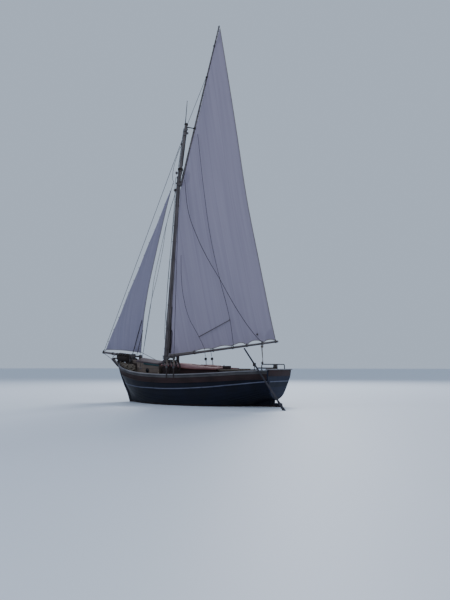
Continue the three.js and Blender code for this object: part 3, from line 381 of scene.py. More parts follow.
# Bulwarks, rails, wales and mouldings: long timbers bent round the sheer, each with its edges
# eased, fastened to the heads of the frames. They replace the plain solids in the same places.
BULWARK_HEIGHT, BULWARK_THICK = 0.19, 0.045
LOW_PLANK = BULWARK_HEIGHT * 0.52
FLARE, MEETING, TOUCH = 0.008, 0.01, 0.0003
CAP_THICK, CAP_WIDE, CAP_OUT = 0.038, 0.115, 0.03
WALE_DEEP, WALE_THICK = 0.085, 0.038
STRIPE_DEEP, STRIPE_THICK = 0.034, 0.018
STRIPE_DROP = ((0, 0.13), (0.14, 0.19), (0.32, 0.232), (0.5, 0.252), (0.7, 0.27), (0.85, 0.33),
               (0.93, 0.4), (1, 0.52))


def deck_edge(at):
    return faired("deck_y", at), faired("deck_z", at)


def breadth(at, z):
    """The half-breadth of the hull's solid at a height."""
    line = section_line(at)
    for low, high in zip(line, line[1:]):
        if z <= high.y:
            share = min(max((z - low.y) / (high.y - low.y), 0), 1)
            return low.x + (high.x - low.x) * share
    return line[-1].x


def low_plank_section(at):
    y, z = deck_edge(at)
    half, inner = z + LOW_PLANK, max(y - BULWARK_THICK, MEETING)
    return ((y + 0.0012, z - 0.03), (y + 0.01, z - 0.03), (y + 0.01, z + 0.012),
            (y + FLARE * 0.5, half - 0.005), (y - 0.004, half - 0.001), (inner, half - 0.001),
            (inner, z + TOUCH), (y + 0.0012, z + TOUCH))


def bulwark_section(at):
    y, z = deck_edge(at)
    top, half = z + BULWARK_HEIGHT - TOUCH, z + LOW_PLANK
    inner = max(y - BULWARK_THICK, MEETING)
    return ((y - 0.004, half), (y + FLARE * 0.5, half + 0.005), (y + FLARE, top),
            (inner + FLARE, top), (inner, half))


def cap_section(at):
    y, z = deck_edge(at)
    y, z = y + FLARE + CAP_OUT, z + BULWARK_HEIGHT
    inner = max(y - CAP_WIDE, MEETING)
    return ((y, z), (y, z + CAP_THICK), (inner, z + CAP_THICK), (inner, z))


def wale_section(at):
    y, z = deck_edge(at)
    high, low = z - 0.0306, z - WALE_DEEP
    inner, under = y + TOUCH, breadth(at, low) + TOUCH
    return ((under, low), (under + WALE_THICK, low), (inner + WALE_THICK, high), (inner, high))


def stripe_section(at):
    top = faired("deck_z", at) - read_off(STRIPE_DROP, at)
    foot = top - STRIPE_DEEP
    low, high = breadth(at, foot) + TOUCH, breadth(at, top) + TOUCH
    return ((low, foot), (low + STRIPE_THICK, foot), (high + STRIPE_THICK, top), (high, top))


brown_paint = timber("brown_paint", (30, 22, 24), (58, 43, 44), (1.2, 9, 9),
                     (66, 60, 60), worn=0.7)
grey_wood = timber("grey_wood", (46, 45, 49), (92, 89, 90), (1.2, 14, 14),
                   (68, 58, 54), worn=0.64, rough=0.82)
rail_grey = timber("rail_grey", (84, 84, 90), (132, 130, 134), (1.2, 14, 14),
                   (62, 54, 52), rough=0.82)
pale_paint = timber("pale_paint", (64, 68, 86), (104, 107, 124), (1.2, 9, 9),
                    (40, 44, 62), worn=0.57)
for side, hand in SIDES:
    for part, section, finish, ease in (
        ("low_plank", low_plank_section, brown_paint, 0),
        ("bulwark", bulwark_section, grey_wood, 0),
        ("cap_rail", cap_section, rail_grey, 0.01),
        ("wale", wale_section, brown_paint, 0.012),
        ("stripe", stripe_section, pale_paint, 0.004),
    ):
        rings = [[(hull_x(at, z), hand * y, z) for y, z in section(at)] for at in STATIONS]
        nodes = [] if part == "low_plank" else [part + "_" + side]
        fitted(part + "_bent_" + side, [laid_out(rings, True)], finish, "hull", *nodes,
               rounded=ease, angle=35)

# Frame heads: the tops of the sawn frames, standing inside the bulwarks under the rail. They are
# spaced evenly from the quarter to the bow, and painted with the planks.
def share_at(x, z=1.0):
    """The share of the length at which a place lies."""
    aft = stern_x(z)
    return (x - aft) / (read_off(STEM_FACE, z) - STEM_THICK - aft)


def squared(spot, size, turn=(0, 0, 0)):
    """A squared timber or plate, sized after it is turned."""
    picked()
    bpy.ops.mesh.primitive_cube_add(size=1, location=spot, rotation=turn)
    bpy.ops.transform.resize(value=size)
    return bpy.context.object


for side, hand in SIDES:
    heads = []
    for x in spaced(-3.05, 2.83, 14):
        y, foot = deck_edge(share_at(x))
        heads.append(squared((x, hand * (y - BULWARK_THICK - 0.036), foot + 0.09),
                             (0.075, 0.06, 0.172)))
    fitted("frame_heads_" + side, heads, brown_paint, "hull", rounded=0.008)

# Taffrail: one thick board with rounded edges, laid over the transom and the rails' after ends.
# A thin brown board below it covers the ends of the bulwarks.
TRANSOM_THICK, BOARD_THICK = 0.04, 0.014
fitted("taffrail_board", [squared((stern_x(1.25) - 0.0125, 0, 1.2503), (0.115, 1.856, 0.034))],
       rail_grey, "hull", "taffrail", rounded=0.012)
painted(pale_paint, "stripe_transom")
rings = [[(stern_x(z) - TRANSOM_THICK - out, y, z) for z, out in
          ((1.03, 0), (1.03, BOARD_THICK), (1.228, BOARD_THICK), (1.228, 0))]
         for y in (-0.851, 0.851)]
fitted("quarter_board", [laid_out(rings, True)], brown_paint, "hull", rounded=0.004)

# Deck: straight planks payed with dark seams and worn in scattered patches. The after deck and
# the well's bench are of the same wood.
deck_wood = timber("deck_wood", (74, 67, 64), (122, 113, 104), (1.5, 18, 18),
                   (56, 50, 48), worn=0.66, rough=0.8, boards=("Y", 0.09))
painted(deck_wood, "deck", "aft_trunk_top", "well_bench")

# Trunk cabin: painted coamings, and a cambered roof covered in canvas, painted red-brown; its pale
# pink is a painted highlight for the sun's glint on it. The canvas is turned down over the roof's
# edge and cut round the hatchway.
ROOF_AFT, ROOF_FORE, ROOF_HALF = -1.563, 0.773, 0.815
HATCHWAY_AFT, HATCHWAY_FORE, HATCHWAY_HALF = -1.37, -0.79, 0.27
ROOF_EDGE = ((-1.56, 1.2858), (-1.1, 1.295), (-0.7, 1.3006), (-0.3, 1.3248), (0.1, 1.3683),
             (0.45, 1.4025), (0.77, 1.4292))
ROOF_CROWN = ((-1.56, 1.3036), (-1.1, 1.3446), (-0.7, 1.3804), (-0.3, 1.4161), (0.1, 1.4568),
              (0.45, 1.48), (0.77, 1.4843))
CANVAS_THICK = 0.003


def cambered(x, half, edge, crown, steps):
    """Points across a cambered top at one place, a little proud of the solid."""
    return [(x, half * share, edge + (crown - edge) * (1 - share**2) + 0.004)
            for share in spaced(-1, 1, steps)]


painted(brown_paint, "cabin_trunk", "aft_trunk", "well_coaming", "hatch_runner_port",
        "hatch_runner_starboard")
# The roof's pink-grey tones are a painted highlight: the sun's glint on red-brown canvas.
roof_paint_and_glint = timber("roof_paint_and_glint", (98, 67, 68), (140, 108, 110), (3, 3, 3),
                    (82, 50, 48), worn=0.6, rough=0.7, depth=0.002)
rings = []
for x in spaced(ROOF_AFT, ROOF_FORE, 48):
    edge = read_off(ROOF_EDGE, x)
    turned_down = [(x, ROOF_HALF, edge + 0.001), (x, ROOF_HALF, edge - 0.034)]
    rings.append([(x, -y, z) for x, y, z in reversed(turned_down)]
                 + cambered(x, 0.811, edge, read_off(ROOF_CROWN, x), 26) + turned_down)
canvas = laid_out(rings)
bpy.ops.object.mode_set(mode="EDIT")
bpy.ops.mesh.select_all(action="DESELECT")
bpy.ops.object.mode_set(mode="OBJECT")
for face in canvas.data.polygons:
    x, y, z = face.center
    face.select = HATCHWAY_AFT < x < HATCHWAY_FORE and abs(y) < HATCHWAY_HALF
bpy.ops.object.mode_set(mode="EDIT")
bpy.ops.mesh.select_mode(type="FACE")
bpy.ops.mesh.delete(type="FACE")
bpy.ops.object.mode_set(mode="OBJECT")
worked(canvas, "SOLIDIFY", thickness=CANVAS_THICK)
fitted("roof_canvas", [canvas], roof_paint_and_glint, "hull")
painted(roof_paint_and_glint, "cabin_roof", "sliding_hatch")
edge_paint = timber("edge_paint", (64, 30, 30), (94, 50, 48), (1.2, 9, 9),
                    (112, 88, 84))
for side, hand in SIDES:
    rings = [[(x, hand * y, read_off(ROOF_EDGE, x) - 0.036 + up) for y, up in
              ((0.782, -0.022), (0.826, -0.022), (0.826, -0.001), (0.782, -0.001))]
             for x in spaced(-1.56, 0.77, 40)]
    fitted("roof_bead_" + side, [laid_out(rings, True)], edge_paint, "hull", rounded=0.008)

# Hatch battens and handle: three strips nailed across the sliding hatch, with an iron bow handle
# standing at its after end.
ROOF_SLOPE = 0.0891


def ringed(spot, way, radius, thick, around=32, across=8):
    """A round ring of rope or iron whose axis runs along a direction."""
    picked()
    bpy.ops.mesh.primitive_torus_add(
        location=spot, rotation=Vector(way).to_track_quat("Z", "Y").to_euler(),
        major_radius=radius, minor_radius=thick, major_segments=around, minor_segments=across,
    )
    return bpy.context.object


strips = [squared((x, 0, z), (0.045, 0.6, 0.01), (0, -ROOF_SLOPE, 0))
          for x, z in ((-1.385, 1.356), (-1.08, 1.383), (-0.785, 1.41))]
fitted("hatch_battens", strips, edge_paint, "hatch", rounded=0.004)
iron = timber("iron", (26, 25, 29), (54, 48, 47), (6, 6, 6), (78, 52, 42), worn=0.58,
              rough=0.6, depth=0.001)
fitted("hatch_handle", [ringed((-1.405, 0, 1.365), (1, 0, 0), 0.034, 0.007, around=24)], iron,
       "hatch")

# Cuddy forward of the mast: dull tan sides, a thin green band along the after part of the eaves,
# a dark canvas top cambered like the cabin's, and a round port with an iron rim on each side.
CUDDY_HALF = ((0.95, 0.7), (2.2, 0.43))
CUDDY_EDGE = ((0.95, 1.455), (2.2, 1.565))
CUDDY_CROWN = ((0.95, 1.49), (2.2, 1.68))
CUDDY_AFT, PORT_X = 0.937, 1.58


def turned(start, end, wide, narrow, sides=40):
    """A tapered round piece from one point to another."""
    start, end = Vector(start), Vector(end)
    picked()
    bpy.ops.mesh.primitive_cone_add(
        vertices=sides, radius1=wide, radius2=narrow, depth=(end - start).length,
        location=(start + end) / 2, rotation=(end - start).to_track_quat("Z", "Y").to_euler(),
    )
    return bpy.context.object


tan_paint = timber("tan_paint", (76, 68, 66), (118, 106, 98), (1.2, 9, 9),
                   (146, 130, 120), worn=0.6, boards=("Z", 0.14))
teal_paint = timber("teal_paint", (26, 48, 54), (48, 76, 80), (1.2, 9, 9),
                    (92, 96, 98), worn=0.64)
grey_canvas = timber("grey_canvas", (50, 43, 48), (84, 74, 80), (3, 3, 3),
                     (70, 60, 60), rough=0.82, depth=0.002)
glass = timber("dark_glass", (14, 18, 24), (30, 36, 44), (3, 3, 3), rough=0.2,
               depth=0.0)
painted(tan_paint, "cuddy")
painted(grey_canvas, "cuddy_roof")
cover = laid_out([
    cambered(x, read_off(CUDDY_HALF, x) + 0.014, read_off(CUDDY_EDGE, x),
             read_off(CUDDY_CROWN, x), 20) for x in spaced(CUDDY_AFT, 2.217, 24)
])
worked(cover, "SOLIDIFY", thickness=CANVAS_THICK)
fitted("cuddy_canvas", [cover], grey_canvas, "hull")
for side, hand in SIDES:
    rings = [[(x, hand * (read_off(CUDDY_HALF, x) + out), read_off(CUDDY_EDGE, x) + up)
              for out, up in ((0.001, -0.098), (0.021, -0.098), (0.021, -0.043), (0.001, -0.043))]
             for x in spaced(CUDDY_AFT, 1.797, 8)]
    fitted("cuddy_eaves_" + side, [laid_out(rings, True)], teal_paint, "hull", rounded=0.006)
    outward = Vector((0.211, 0.977 * hand, 0))
    spot = Vector((PORT_X, hand * read_off(CUDDY_HALF, PORT_X), 1.2)) + outward * 0.006
    fitted("port_rim_" + side, [ringed(spot, outward, 0.078, 0.014, 40, 10)], iron, "hull")
    half_thick = outward.normalized() * 0.006
    fitted("port_glass_" + side, [turned(spot - half_thick, spot + half_thick, 0.074, 0.074)],
           glass, "hull", rounded=0.003)

# Fore box: a plank locker between the cuddy and the windlass, closed by a deep lid that hangs
# over its sides.
painted(brown_paint, "fore_box")
fitted("fore_box_lid", [squared((2.37, 0, 1.535), (0.29, 0.62, 0.139))], tan_paint, "hull",
       rounded=0.006)

# Bitts, windlass and fife rail: squared oak posts, greyed by the weather, with the windlass
# barrel's battens nailed on, iron straps round the cheeks, and spare line hung up on the pins.
WINDLASS_X, BARREL_Z, BATTEN_OUT = 2.62, 1.5, 0.058
PIN_X = 0.8775


def led(points, radius):
    """A rope or a bent bar led through points."""
    picked()
    bpy.ops.curve.primitive_bezier_curve_add(location=(0, 0, 0))
    piece = bpy.context.object
    knots = piece.data.splines[0].bezier_points
    knots.add(len(points) - 2)
    for knot, point in zip(knots, points):
        knot.co = point
        knot.handle_left_type = knot.handle_right_type = "AUTO"
    piece.data.resolution_u = 8
    piece.data.bevel_depth = radius
    piece.data.bevel_resolution = 2
    piece.data.use_fill_caps = True
    bpy.ops.object.convert(target="MESH")
    return bpy.context.object


def hank(top, neck, low, tail, aside, radius=0.01):
    """A coil of rope hung up on a pin: down one side, round its end and up the other."""
    neck, low, aside = Vector(neck), Vector(low), Vector(aside)
    return led([top, neck + aside, low + aside, tail, low - aside, neck - aside, top], radius)


painted(grey_wood, "windlass_bitts", "windlass_barrel", "bowsprit_bitt", "fife_rail",
        "boom_saddle")
tarred = timber("tarred_rope", (28, 26, 28), (54, 49, 47), (40, 40, 40), (84, 76, 68),
                worn=0.68, rough=0.9)
manila = timber("manila_rope", (84, 78, 72), (132, 124, 114), (40, 40, 40),
                (64, 58, 52), worn=0.64, rough=0.9)
spar_wood = timber("spar_wood", (62, 60, 66), (108, 102, 102), (14, 14, 1.1),
                   (46, 42, 44), rough=0.74)
battens = []
for hand in (1, -1):
    for lean in spaced(radians(22.5), radians(337.5), 7):
        spot = (WINDLASS_X + BATTEN_OUT * sin(lean), hand * 0.165,
                BARREL_Z + BATTEN_OUT * cos(lean))
        battens.append(squared(spot, (0.026, 0.13, 0.016), (0, lean, 0)))
fitted("barrel_battens", battens, grey_wood, "windlass", rounded=0.004)
heads = [turned((WINDLASS_X, hand * 0.345, BARREL_Z), (WINDLASS_X, hand * 0.385, BARREL_Z),
                0.046, 0.04) for hand in (1, -1)]
fitted("barrel_ends", heads, iron, "windlass", rounded=0.004)
straps = [squared((WINDLASS_X, hand * 0.3, z), (0.108, 0.084, 0.03))
          for hand in (1, -1) for z in (1.42, 1.66)]
fitted("bitt_straps", straps, iron, "hull", rounded=0.003)
turns = [ringed((WINDLASS_X, 0.115 + 0.02 * count, BARREL_Z), (0, 1, 0.03), 0.075, 0.0105)
         for count in range(6)]
fitted("warp_turns", turns, tarred, "windlass")
loops = []
for count, (drop, width) in enumerate(((0.34, 0.06), (0.3, 0.075), (0.37, 0.05), (0.32, 0.085))):
    x, y = WINDLASS_X, 0.352 + 0.014 * count
    loops.append(hank((x, y, 1.77), (x, y + 0.004, 1.7), (x, y, 1.77 - drop),
                      (x, y + 0.01, 1.72 - drop), (width, 0, 0), 0.009))
fitted("hanks_on_bitts", loops, tarred, "hull")
pins = [turned((PIN_X, y, 1.3), (PIN_X, y, 1.53), 0.009, 0.013, sides=16)
        for y in spaced(-0.28, 0.28, 5)]
fitted("rail_pins", pins, spar_wood, "hull", rounded=0.002)
coils = []
for y, drop in ((-0.28, 0.3), (-0.168, 0.36), (-0.056, 0.33), (0.056, 0.38), (0.168, 0.31),
                (0.28, 0.35)):
    for x, width in ((0.83, 0.05), (0.818, 0.066), (0.806, 0.08)):
        coils.append(hank((0.885, y, 1.6), (x, y, 1.54), (x, y, 1.6 - drop),
                          (x - 0.01, y, 1.56 - drop), (0, width, 0)))
fitted("hanks_on_rail", coils, tarred, "hull")

# Anchor and ropes on the foredeck: a fisherman's anchor lashed beside the bitts, heaps of slack
# warp, a coil of tarred warp on the planks, and two rope fenders laid along the bowsprit.
anchor = [led([(3.2, 0.13, 1.44), (2.93, 0.2, 1.34), (2.66, 0.4, 1.3)], 0.017),
          led([(3.33, -0.06, 1.5), (3.24, 0.02, 1.43), (3.2, 0.13, 1.42), (3.19, 0.25, 1.46),
               (3.22, 0.34, 1.54)], 0.016),
          led([(2.63, 0.38, 1.06), (2.66, 0.4, 1.3), (2.69, 0.43, 1.52)], 0.013),
          ringed((2.6, 0.43, 1.3), (0, 1, 0.4), 0.04, 0.008)]
for spot in ((3.33, -0.07, 1.51), (3.22, 0.35, 1.55)):
    bpy.ops.mesh.primitive_cone_add(vertices=3, radius1=0.07, radius2=0.02, depth=0.014,
                                    location=spot, rotation=(0.5, 0.9, 0.4))
    anchor.append(bpy.context.object)
fitted("anchor", anchor, iron, "hull")
HEAP_STEPS = 54
heap = []
for x, y, z, wide in ((3.14, 0.16, 1.29, 0.15), (3.12, -0.2, 1.29, 0.14), (2.36, 0.52, 1.19, 0.17),
                      (2.3, -0.5, 1.19, 0.15), (2.9, 0.33, 1.25, 0.17), (2.64, 0.5, 1.2, 0.15)):
    path = []
    for step in range(HEAP_STEPS):
        lean = 0.62 * step
        reach = wide * (0.8 + 0.2 * sin(2.3 * step)) * (1 - 0.35 * step / HEAP_STEPS)
        path.append((x + reach * cos(lean), y + reach * sin(lean),
                     z + 0.0045 * step + 0.014 * sin(1.7 * step)))
    heap.append(led(path, 0.016))
fitted("warp_heaps", heap, manila, "hull")
turns = [ringed((2.74 + 0.026 * step, hand * 0.2, 1.6 + 0.003 * step), (1, 0.04 * hand, 0),
                0.085 - 0.03 * abs(step / 11.5 - 1) ** 2, 0.017)
         for hand in (1, -1) for step in range(24)]
fitted("rope_fenders", turns, tarred, "hull")
warp = [ringed((2.97, -0.22, 1.228 + 0.024 * layer), (0.1, 0.02, 1),
               0.21 - 0.026 * turn - 0.01 * layer, 0.0125)
        for layer in range(3) for turn in range(4 - layer)]
fitted("warp_coil", warp, tarred, "hull")

# Bowsprit, mast, boom and gaff: rounded and tapered poles of grey-brown pine, scraped along the
# grain. The boom and the gaff end in jaws that take the mast between two cheeks.
SPRIT_HEEL, SPRIT_TIP = (2.762, 0, 1.742), (4.325, 0, 1.922)
MAST_FOOT, MAST_BEND, MAST_TOP = (1.215, 0, 0.77), (0.63, 0, 8.4), (0.306, 0, 10.62)
MAST_WIDE, MAST_NARROW = 0.098, 0.06
BOOM_END, BOOM_Z, BOOM_WIDE, BOOM_NARROW = (-3.54, 0, 2.19), 1.715, 0.052, 0.034
GAFF_HEEL, GAFF_PEAK, GAFF_WIDE, GAFF_NARROW = (0.52, 0, 8.3), (-1.19, 0, 14.24), 0.042, 0.026
sprit_line = Vector(SPRIT_TIP) - Vector(SPRIT_HEEL)
mast_line = Vector(MAST_BEND) - Vector(MAST_FOOT)
gaff_line = Vector(GAFF_PEAK) - Vector(GAFF_HEEL)
RAKE = atan2(-mast_line.x, mast_line.z)
RAKED = (0, -RAKE, 0)


def on_line(start, end, axis, value):
    """The point of a straight line at which one of its coordinates has a value."""
    share = (value - start[axis]) / (end[axis] - start[axis])
    return Vector(start) + (Vector(end) - Vector(start)) * share


def mast_at(z):
    below = z < MAST_BEND[2]
    return on_line(MAST_FOOT if below else MAST_BEND, MAST_BEND if below else MAST_TOP, 2, z)


def by_mast(z, ahead, across, up=0.0):
    return mast_at(z) + Vector((ahead, across, up))


def mast_radius(z):
    share = (z - MAST_FOOT[2]) / (MAST_TOP[2] - MAST_FOOT[2])
    return MAST_WIDE + (MAST_NARROW - MAST_WIDE) * share


painted(spar_wood, "beak")
painted(iron, "bowsprit_band", "mast_cap", "hounds", "rowlock_socket", "sweep_crutch")
fitted("bowsprit_pole", [turned(SPRIT_HEEL, SPRIT_TIP, 0.058, 0.04)], spar_wood, "hull",
       "bowsprit", rounded=0.008)
rings = [ringed(on_line(SPRIT_HEEL, SPRIT_TIP, 0, x), sprit_line, radius, 0.008)
         for x, radius in ((2.86, 0.058), (3.53, 0.052), (3.56, 0.052), (3.75, 0.05), (3.78, 0.05),
                           (3.81, 0.049))]
fitted("gammon_lashing", rings, tarred, "hull")
hanks = []
for x, drop in ((2.84, 0.25), (2.94, 0.3), (3.04, 0.24), (3.16, 0.28), (3.28, 0.2), (3.4, 0.15)):
    z = on_line(SPRIT_HEEL, SPRIT_TIP, 0, x).z
    high, middle, low = z + 0.07, z - drop * 0.6, z - drop
    for y in (0.085, 0.11):
        out = y + 0.03
        hanks.append(led([(x - 0.02, 0, high), (x, y, z + 0.02), (x + 0.05, out, middle),
                          (x + 0.02, y + 0.02, low), (x - 0.04, out, middle), (x - 0.02, y, z),
                          (x, 0, high), (x - 0.01, -y, z), (x + 0.04, -out, middle),
                          (x, -y - 0.02, low), (x - 0.05, -out, middle), (x - 0.03, -y, z + 0.02),
                          (x - 0.02, 0, high)], 0.013))
fitted("hanks_on_bowsprit", hanks, tarred, "hull")
irons = [led([(3.62, 0.034, 1.8), (3.7, 0.034, 1.775), (3.752, 0.034, 1.727),
              (3.749, 0.034, 1.62)], 0.011),
         led([(3.75, 0.034, 1.66), (3.1, 0.034, 1.655)], 0.012),
         led([(3.749, 0.034, 1.62), (3.64, 0.034, 1.5), (3.508, 0.034, 1.377)], 0.012)]
fitted("beak_irons", irons, iron, "hull")
hook = led([(4.29, 0, 1.97), (4.24, 0, 2.03), (4.2, 0, 2.02), (4.17, 0, 1.97)], 0.009)
fitted("tack_hook", [hook, ringed((4.285, 0, 1.975), (0, 1, 0), 0.024, 0.008)], iron, "hull")

rings = []
for z in (0.77, 1.7, 4.0, 6.5, 8.0, 8.25, 8.4, 8.55, 8.8, 9.7, 10.607, 10.62):
    wide = mast_radius(z) - (0.007 if z == MAST_TOP[2] else 0)
    rings.append([by_mast(z, wide * cos(lean), wide * sin(lean))
                  for lean in spaced(0, 2 * pi, 40)[:-1]])
fitted("mast_pole", [laid_out(rings, True)], spar_wood, "hull", "mast")
rings = [ringed(mast_at(z), mast_line, mast_radius(z) + 0.004, 0.009) for z in (8.8, 10.2, 10.36)]
fitted("mast_bands", rings, iron, "hull")
fitted("mast_coat", [turned(mast_at(1.51), mast_at(1.6), 0.15, 0.106)], grey_canvas, "hull",
       rounded=0.01)
cleats = []
for hand, z in ((1, 2.3), (-1, 2.3), (1, 2.75)):
    spot = by_mast(z, 0, hand * (mast_radius(z) + 0.022))
    cleats.append(squared(spot, (0.024, 0.024, 0.2), RAKED))
    cleats.append(squared(spot - Vector((0, hand * 0.012, 0)), (0.03, 0.026, 0.07)))
fitted("mast_cleats", cleats, spar_wood, "hull", rounded=0.007)

BOOM_HEEL = (mast_at(BOOM_Z).x - 0.15, 0, BOOM_Z + 0.014)
boom_line = Vector(BOOM_END) - Vector(BOOM_HEEL)


def jaws(z, back, front, thick, high):
    """Two cheeks that take the mast between them, with a wedge of wood filling the throat."""
    width, shift = mast_radius(z) + 0.006, -(back - front) / 2
    middle = by_mast(z, shift * cos(RAKE), 0, shift * sin(RAKE))
    cheeks = [squared(middle + Vector((0, hand * (width + thick / 2), 0)),
                      (back + front, thick, high), RAKED) for hand in (1, -1)]
    fill = back - width - 0.03
    return cheeks + [squared(by_mast(z, fill / 2 - back, 0, -0.003),
                             (fill, width * 2, high * 0.9), RAKED)]


def parrel(z):
    """Wooden beads on a line across the open side of a pair of jaws."""
    width = mast_radius(z) + 0.03
    return [ringed(by_mast(z, width * cos(lean), width * sin(lean)),
                   (sin(lean), -cos(lean), 0), 0.011, 0.01, around=16)
            for lean in spaced(radians(-66), radians(66), 6)]


def on_boom(x):
    return on_line(BOOM_HEEL, BOOM_END, 0, x)


def on_gaff(z):
    return on_line(GAFF_HEEL, GAFF_PEAK, 2, z)


def boom_radius(x):
    return BOOM_WIDE + (BOOM_NARROW - BOOM_WIDE) * (x - BOOM_HEEL[0]) / boom_line.x


fitted("boom_jaws_cheeks", jaws(BOOM_Z, 0.21, 0.04, 0.036, 0.076), spar_wood, "main_spars",
       rounded=0.012)
fitted("boom_pole", [turned(BOOM_HEEL, BOOM_END, BOOM_WIDE, BOOM_NARROW)], spar_wood,
       "main_spars", "boom", rounded=0.008)
fitted("gaff_jaws_cheeks", jaws(GAFF_HEEL[2], 0.15, 0.036, 0.028, 0.096), spar_wood, "main_spars",
       rounded=0.01)
fitted("gaff_pole", [turned(GAFF_HEEL, GAFF_PEAK, GAFF_WIDE, GAFF_NARROW)], spar_wood,
       "main_spars", "gaff", rounded=0.006)
fitted("gaff_parrel", parrel(8.36) + parrel(1.74), iron, "main_spars", slot="spar_wood")
bands = [ringed(on_boom(x), boom_line, boom_radius(x) + 0.002, 0.006)
         for x in (-2.91, -2.95, -3.5, 0.72)]
bands += [ringed(on_gaff(z), gaff_line, 0.038, 0.006) for z in (8.7, 14.19)]
fitted("spar_bands", bands, iron, "main_spars")

# Sails: hand-sewn cotton in narrow cloths that run parallel to the leech, with a doubled hem and
# corner patches. The wind fills them a little to port. Each is one sheet, laced or hanked along
# its fore edge, with a bolt rope sewn round it.
CLOTH_WIDTH, SEAM_SHARE, HEM = 0.6, 0.03, 0.055
BELLY, FULL_WIDTH, PILLOW, FLUTTER = 0.1, 2.4, 0.006, 0.012
TIES = (-0.15, -0.95, -1.75, -2.33, -2.96, -3.45)
SCALLOPS = (0.05, 0.07, 0.09, 0.1, 0.06)


def sail_cloth(name, dark, light, patch):
    """Cotton canvas: seams and hems by the sheet's own map in metres, patches at the corners."""
    finish, tree, shader = blank(name)
    where = stir(tree, "UVMap", "UV", uv_map="UVMap")
    place = stir(tree, "TexCoord", "Object")
    drawn = stir(tree, "Mapping", "Vector", ("Vector", where), ("Scale", (9, 0.22, 1)))
    colour = graded(tree, mottled(tree, drawn, 1.0, 5.0), dark, light)
    across = stir(tree, "SeparateXYZ", "X", ("Vector", where))
    part = reckoned(tree, "FRACT", reckoned(tree, "DIVIDE", across, CLOTH_WIDTH))
    seam = reckoned(tree, "LESS_THAN", part, SEAM_SHARE)
    hem = reckoned(tree, "LESS_THAN", across, HEM)
    doubled = stir(tree, "Attribute", "Fac", attribute_name="doubled")
    cover = reckoned(tree, "MAXIMUM", seam, hem)
    cover = reckoned(tree, "MAXIMUM", cover, doubled)
    cover = reckoned(tree, "MULTIPLY", cover, 0.4)
    colour = laid_over(tree, cover, colour, tint(patch))
    tree.links.new(colour, shader.inputs["Base Color"])
    shader.inputs["Roughness"].default_value = 0.92
    shader.inputs["Specular IOR Level"].default_value = 0.15
    weave = mottled(tree, place, 220.0, 2.0)
    crease = mottled(tree, place, 2.4, 5.0, ("Distortion", 0.6))
    height = reckoned(tree, "MULTIPLY_ADD", crease, 6.0, weave)
    bump = stir(tree, "Bump", "Normal", ("Height", height), ("Distance", 0.004), ("Strength", 0.6))
    tree.links.new(bump, shader.inputs["Normal"])
    glow = stir(tree, "BsdfTranslucent", 0, ("Color", colour), ("Normal", bump))
    mixed = stir(tree, "MixShader", 0, ("Fac", 0.4), (1, shader.outputs[0]), (2, glow))
    tree.links.new(mixed, tree.nodes["Material Output"].inputs["Surface"])
    return finish


def along_line(points, share):
    """The point at a share of a bent line's length."""
    points = [Vector(p) for p in points]
    lengths = [(b - a).length for a, b in zip(points, points[1:])]
    reach = share * sum(lengths)
    for a, b, length in zip(points, points[1:], lengths):
        if reach <= length:
            return a + (b - a) * (reach / length)
        reach -= length
    return points[-1]


def sail(luff, leech, rows, columns, foot_rise, sag, corners):
    """A sail between its fore edge and its leech, in rows from foot to head."""
    rings = []
    for up in spaced(0, 1, rows):
        fore, aft = along_line(luff, up), along_line(leech, up)
        width = (aft - fore).length
        ring = []
        for s in spaced(0, 1, columns):
            pillow = PILLOW * abs(sin(pi * width * (1 - s) / CLOTH_WIDTH))
            fullness = BELLY * min(width / FULL_WIDTH, 1) * min(6 * up, 1) ** 0.7
            blown = s**2 * sin(pi * up)
            out = fullness * sin(pi * s**0.8) + sag * blown + pillow * min(9 * up, 1)
            out += FLUTTER * sin(23 * up + 4 * s) * exp(-9 * s) * min(20 * up, 1)
            point = fore + (aft - fore) * s
            point.z += foot_rise(point.x, s) * max(1 - 14 * up, 0)
            ring.append((point.x - 0.6 * sag * blown, out, point.z))
        rings.append(ring)
    piece = laid_out(rings)
    layer = piece.data.uv_layers["UVMap"].data
    for loop in piece.data.loops:
        row, column = divmod(loop.vertex_index, columns + 1)
        fore, aft = along_line(luff, row / rows), along_line(leech, row / rows)
        layer[loop.index].uv = ((aft - fore).length * (1 - column / columns), aft.z)
    doubled = piece.data.attributes.new("doubled", "FLOAT", "POINT")
    for vertex, mark in zip(piece.data.vertices, doubled.data):
        near = min((vertex.co - Vector(corner)).length / reach for corner, reach in corners)
        mark.value = 1.0 if near < 1 else 0.0
    worked(piece, "SOLIDIFY", thickness=CANVAS_THICK)
    return rings, piece


def flat_line(points):
    """A smooth line through points given in the boat's centre plane as (x, z)."""
    return eased([Vector((x, 0, z)) for x, z in points], 8)


def luff_point(z):
    return by_mast(z, -mast_radius(z) - 0.016, 0)


def under_gaff(z):
    away = Vector((-gaff_line.z, 0, gaff_line.x)).normalized()
    thick = GAFF_WIDE + (GAFF_NARROW - GAFF_WIDE) * (z - GAFF_HEEL[2]) / gaff_line.z
    return on_gaff(z) + away * (thick + 0.014)


def main_foot(x, s):
    """How far the foot is lifted from the straight, with a scallop between each pair of ties."""
    lift = on_boom(x).z + boom_radius(x) + 0.008 - on_line(main_luff[0], main_leech[0], 0, x).z
    for near, far, rise in zip(TIES, TIES[1:], SCALLOPS):
        if far <= x <= near:
            lift += rise * sin(pi * (near - x) / (near - far)) ** 0.8
    return lift


def jib_foot(x, s):
    return 0.035 * sin(pi * s)
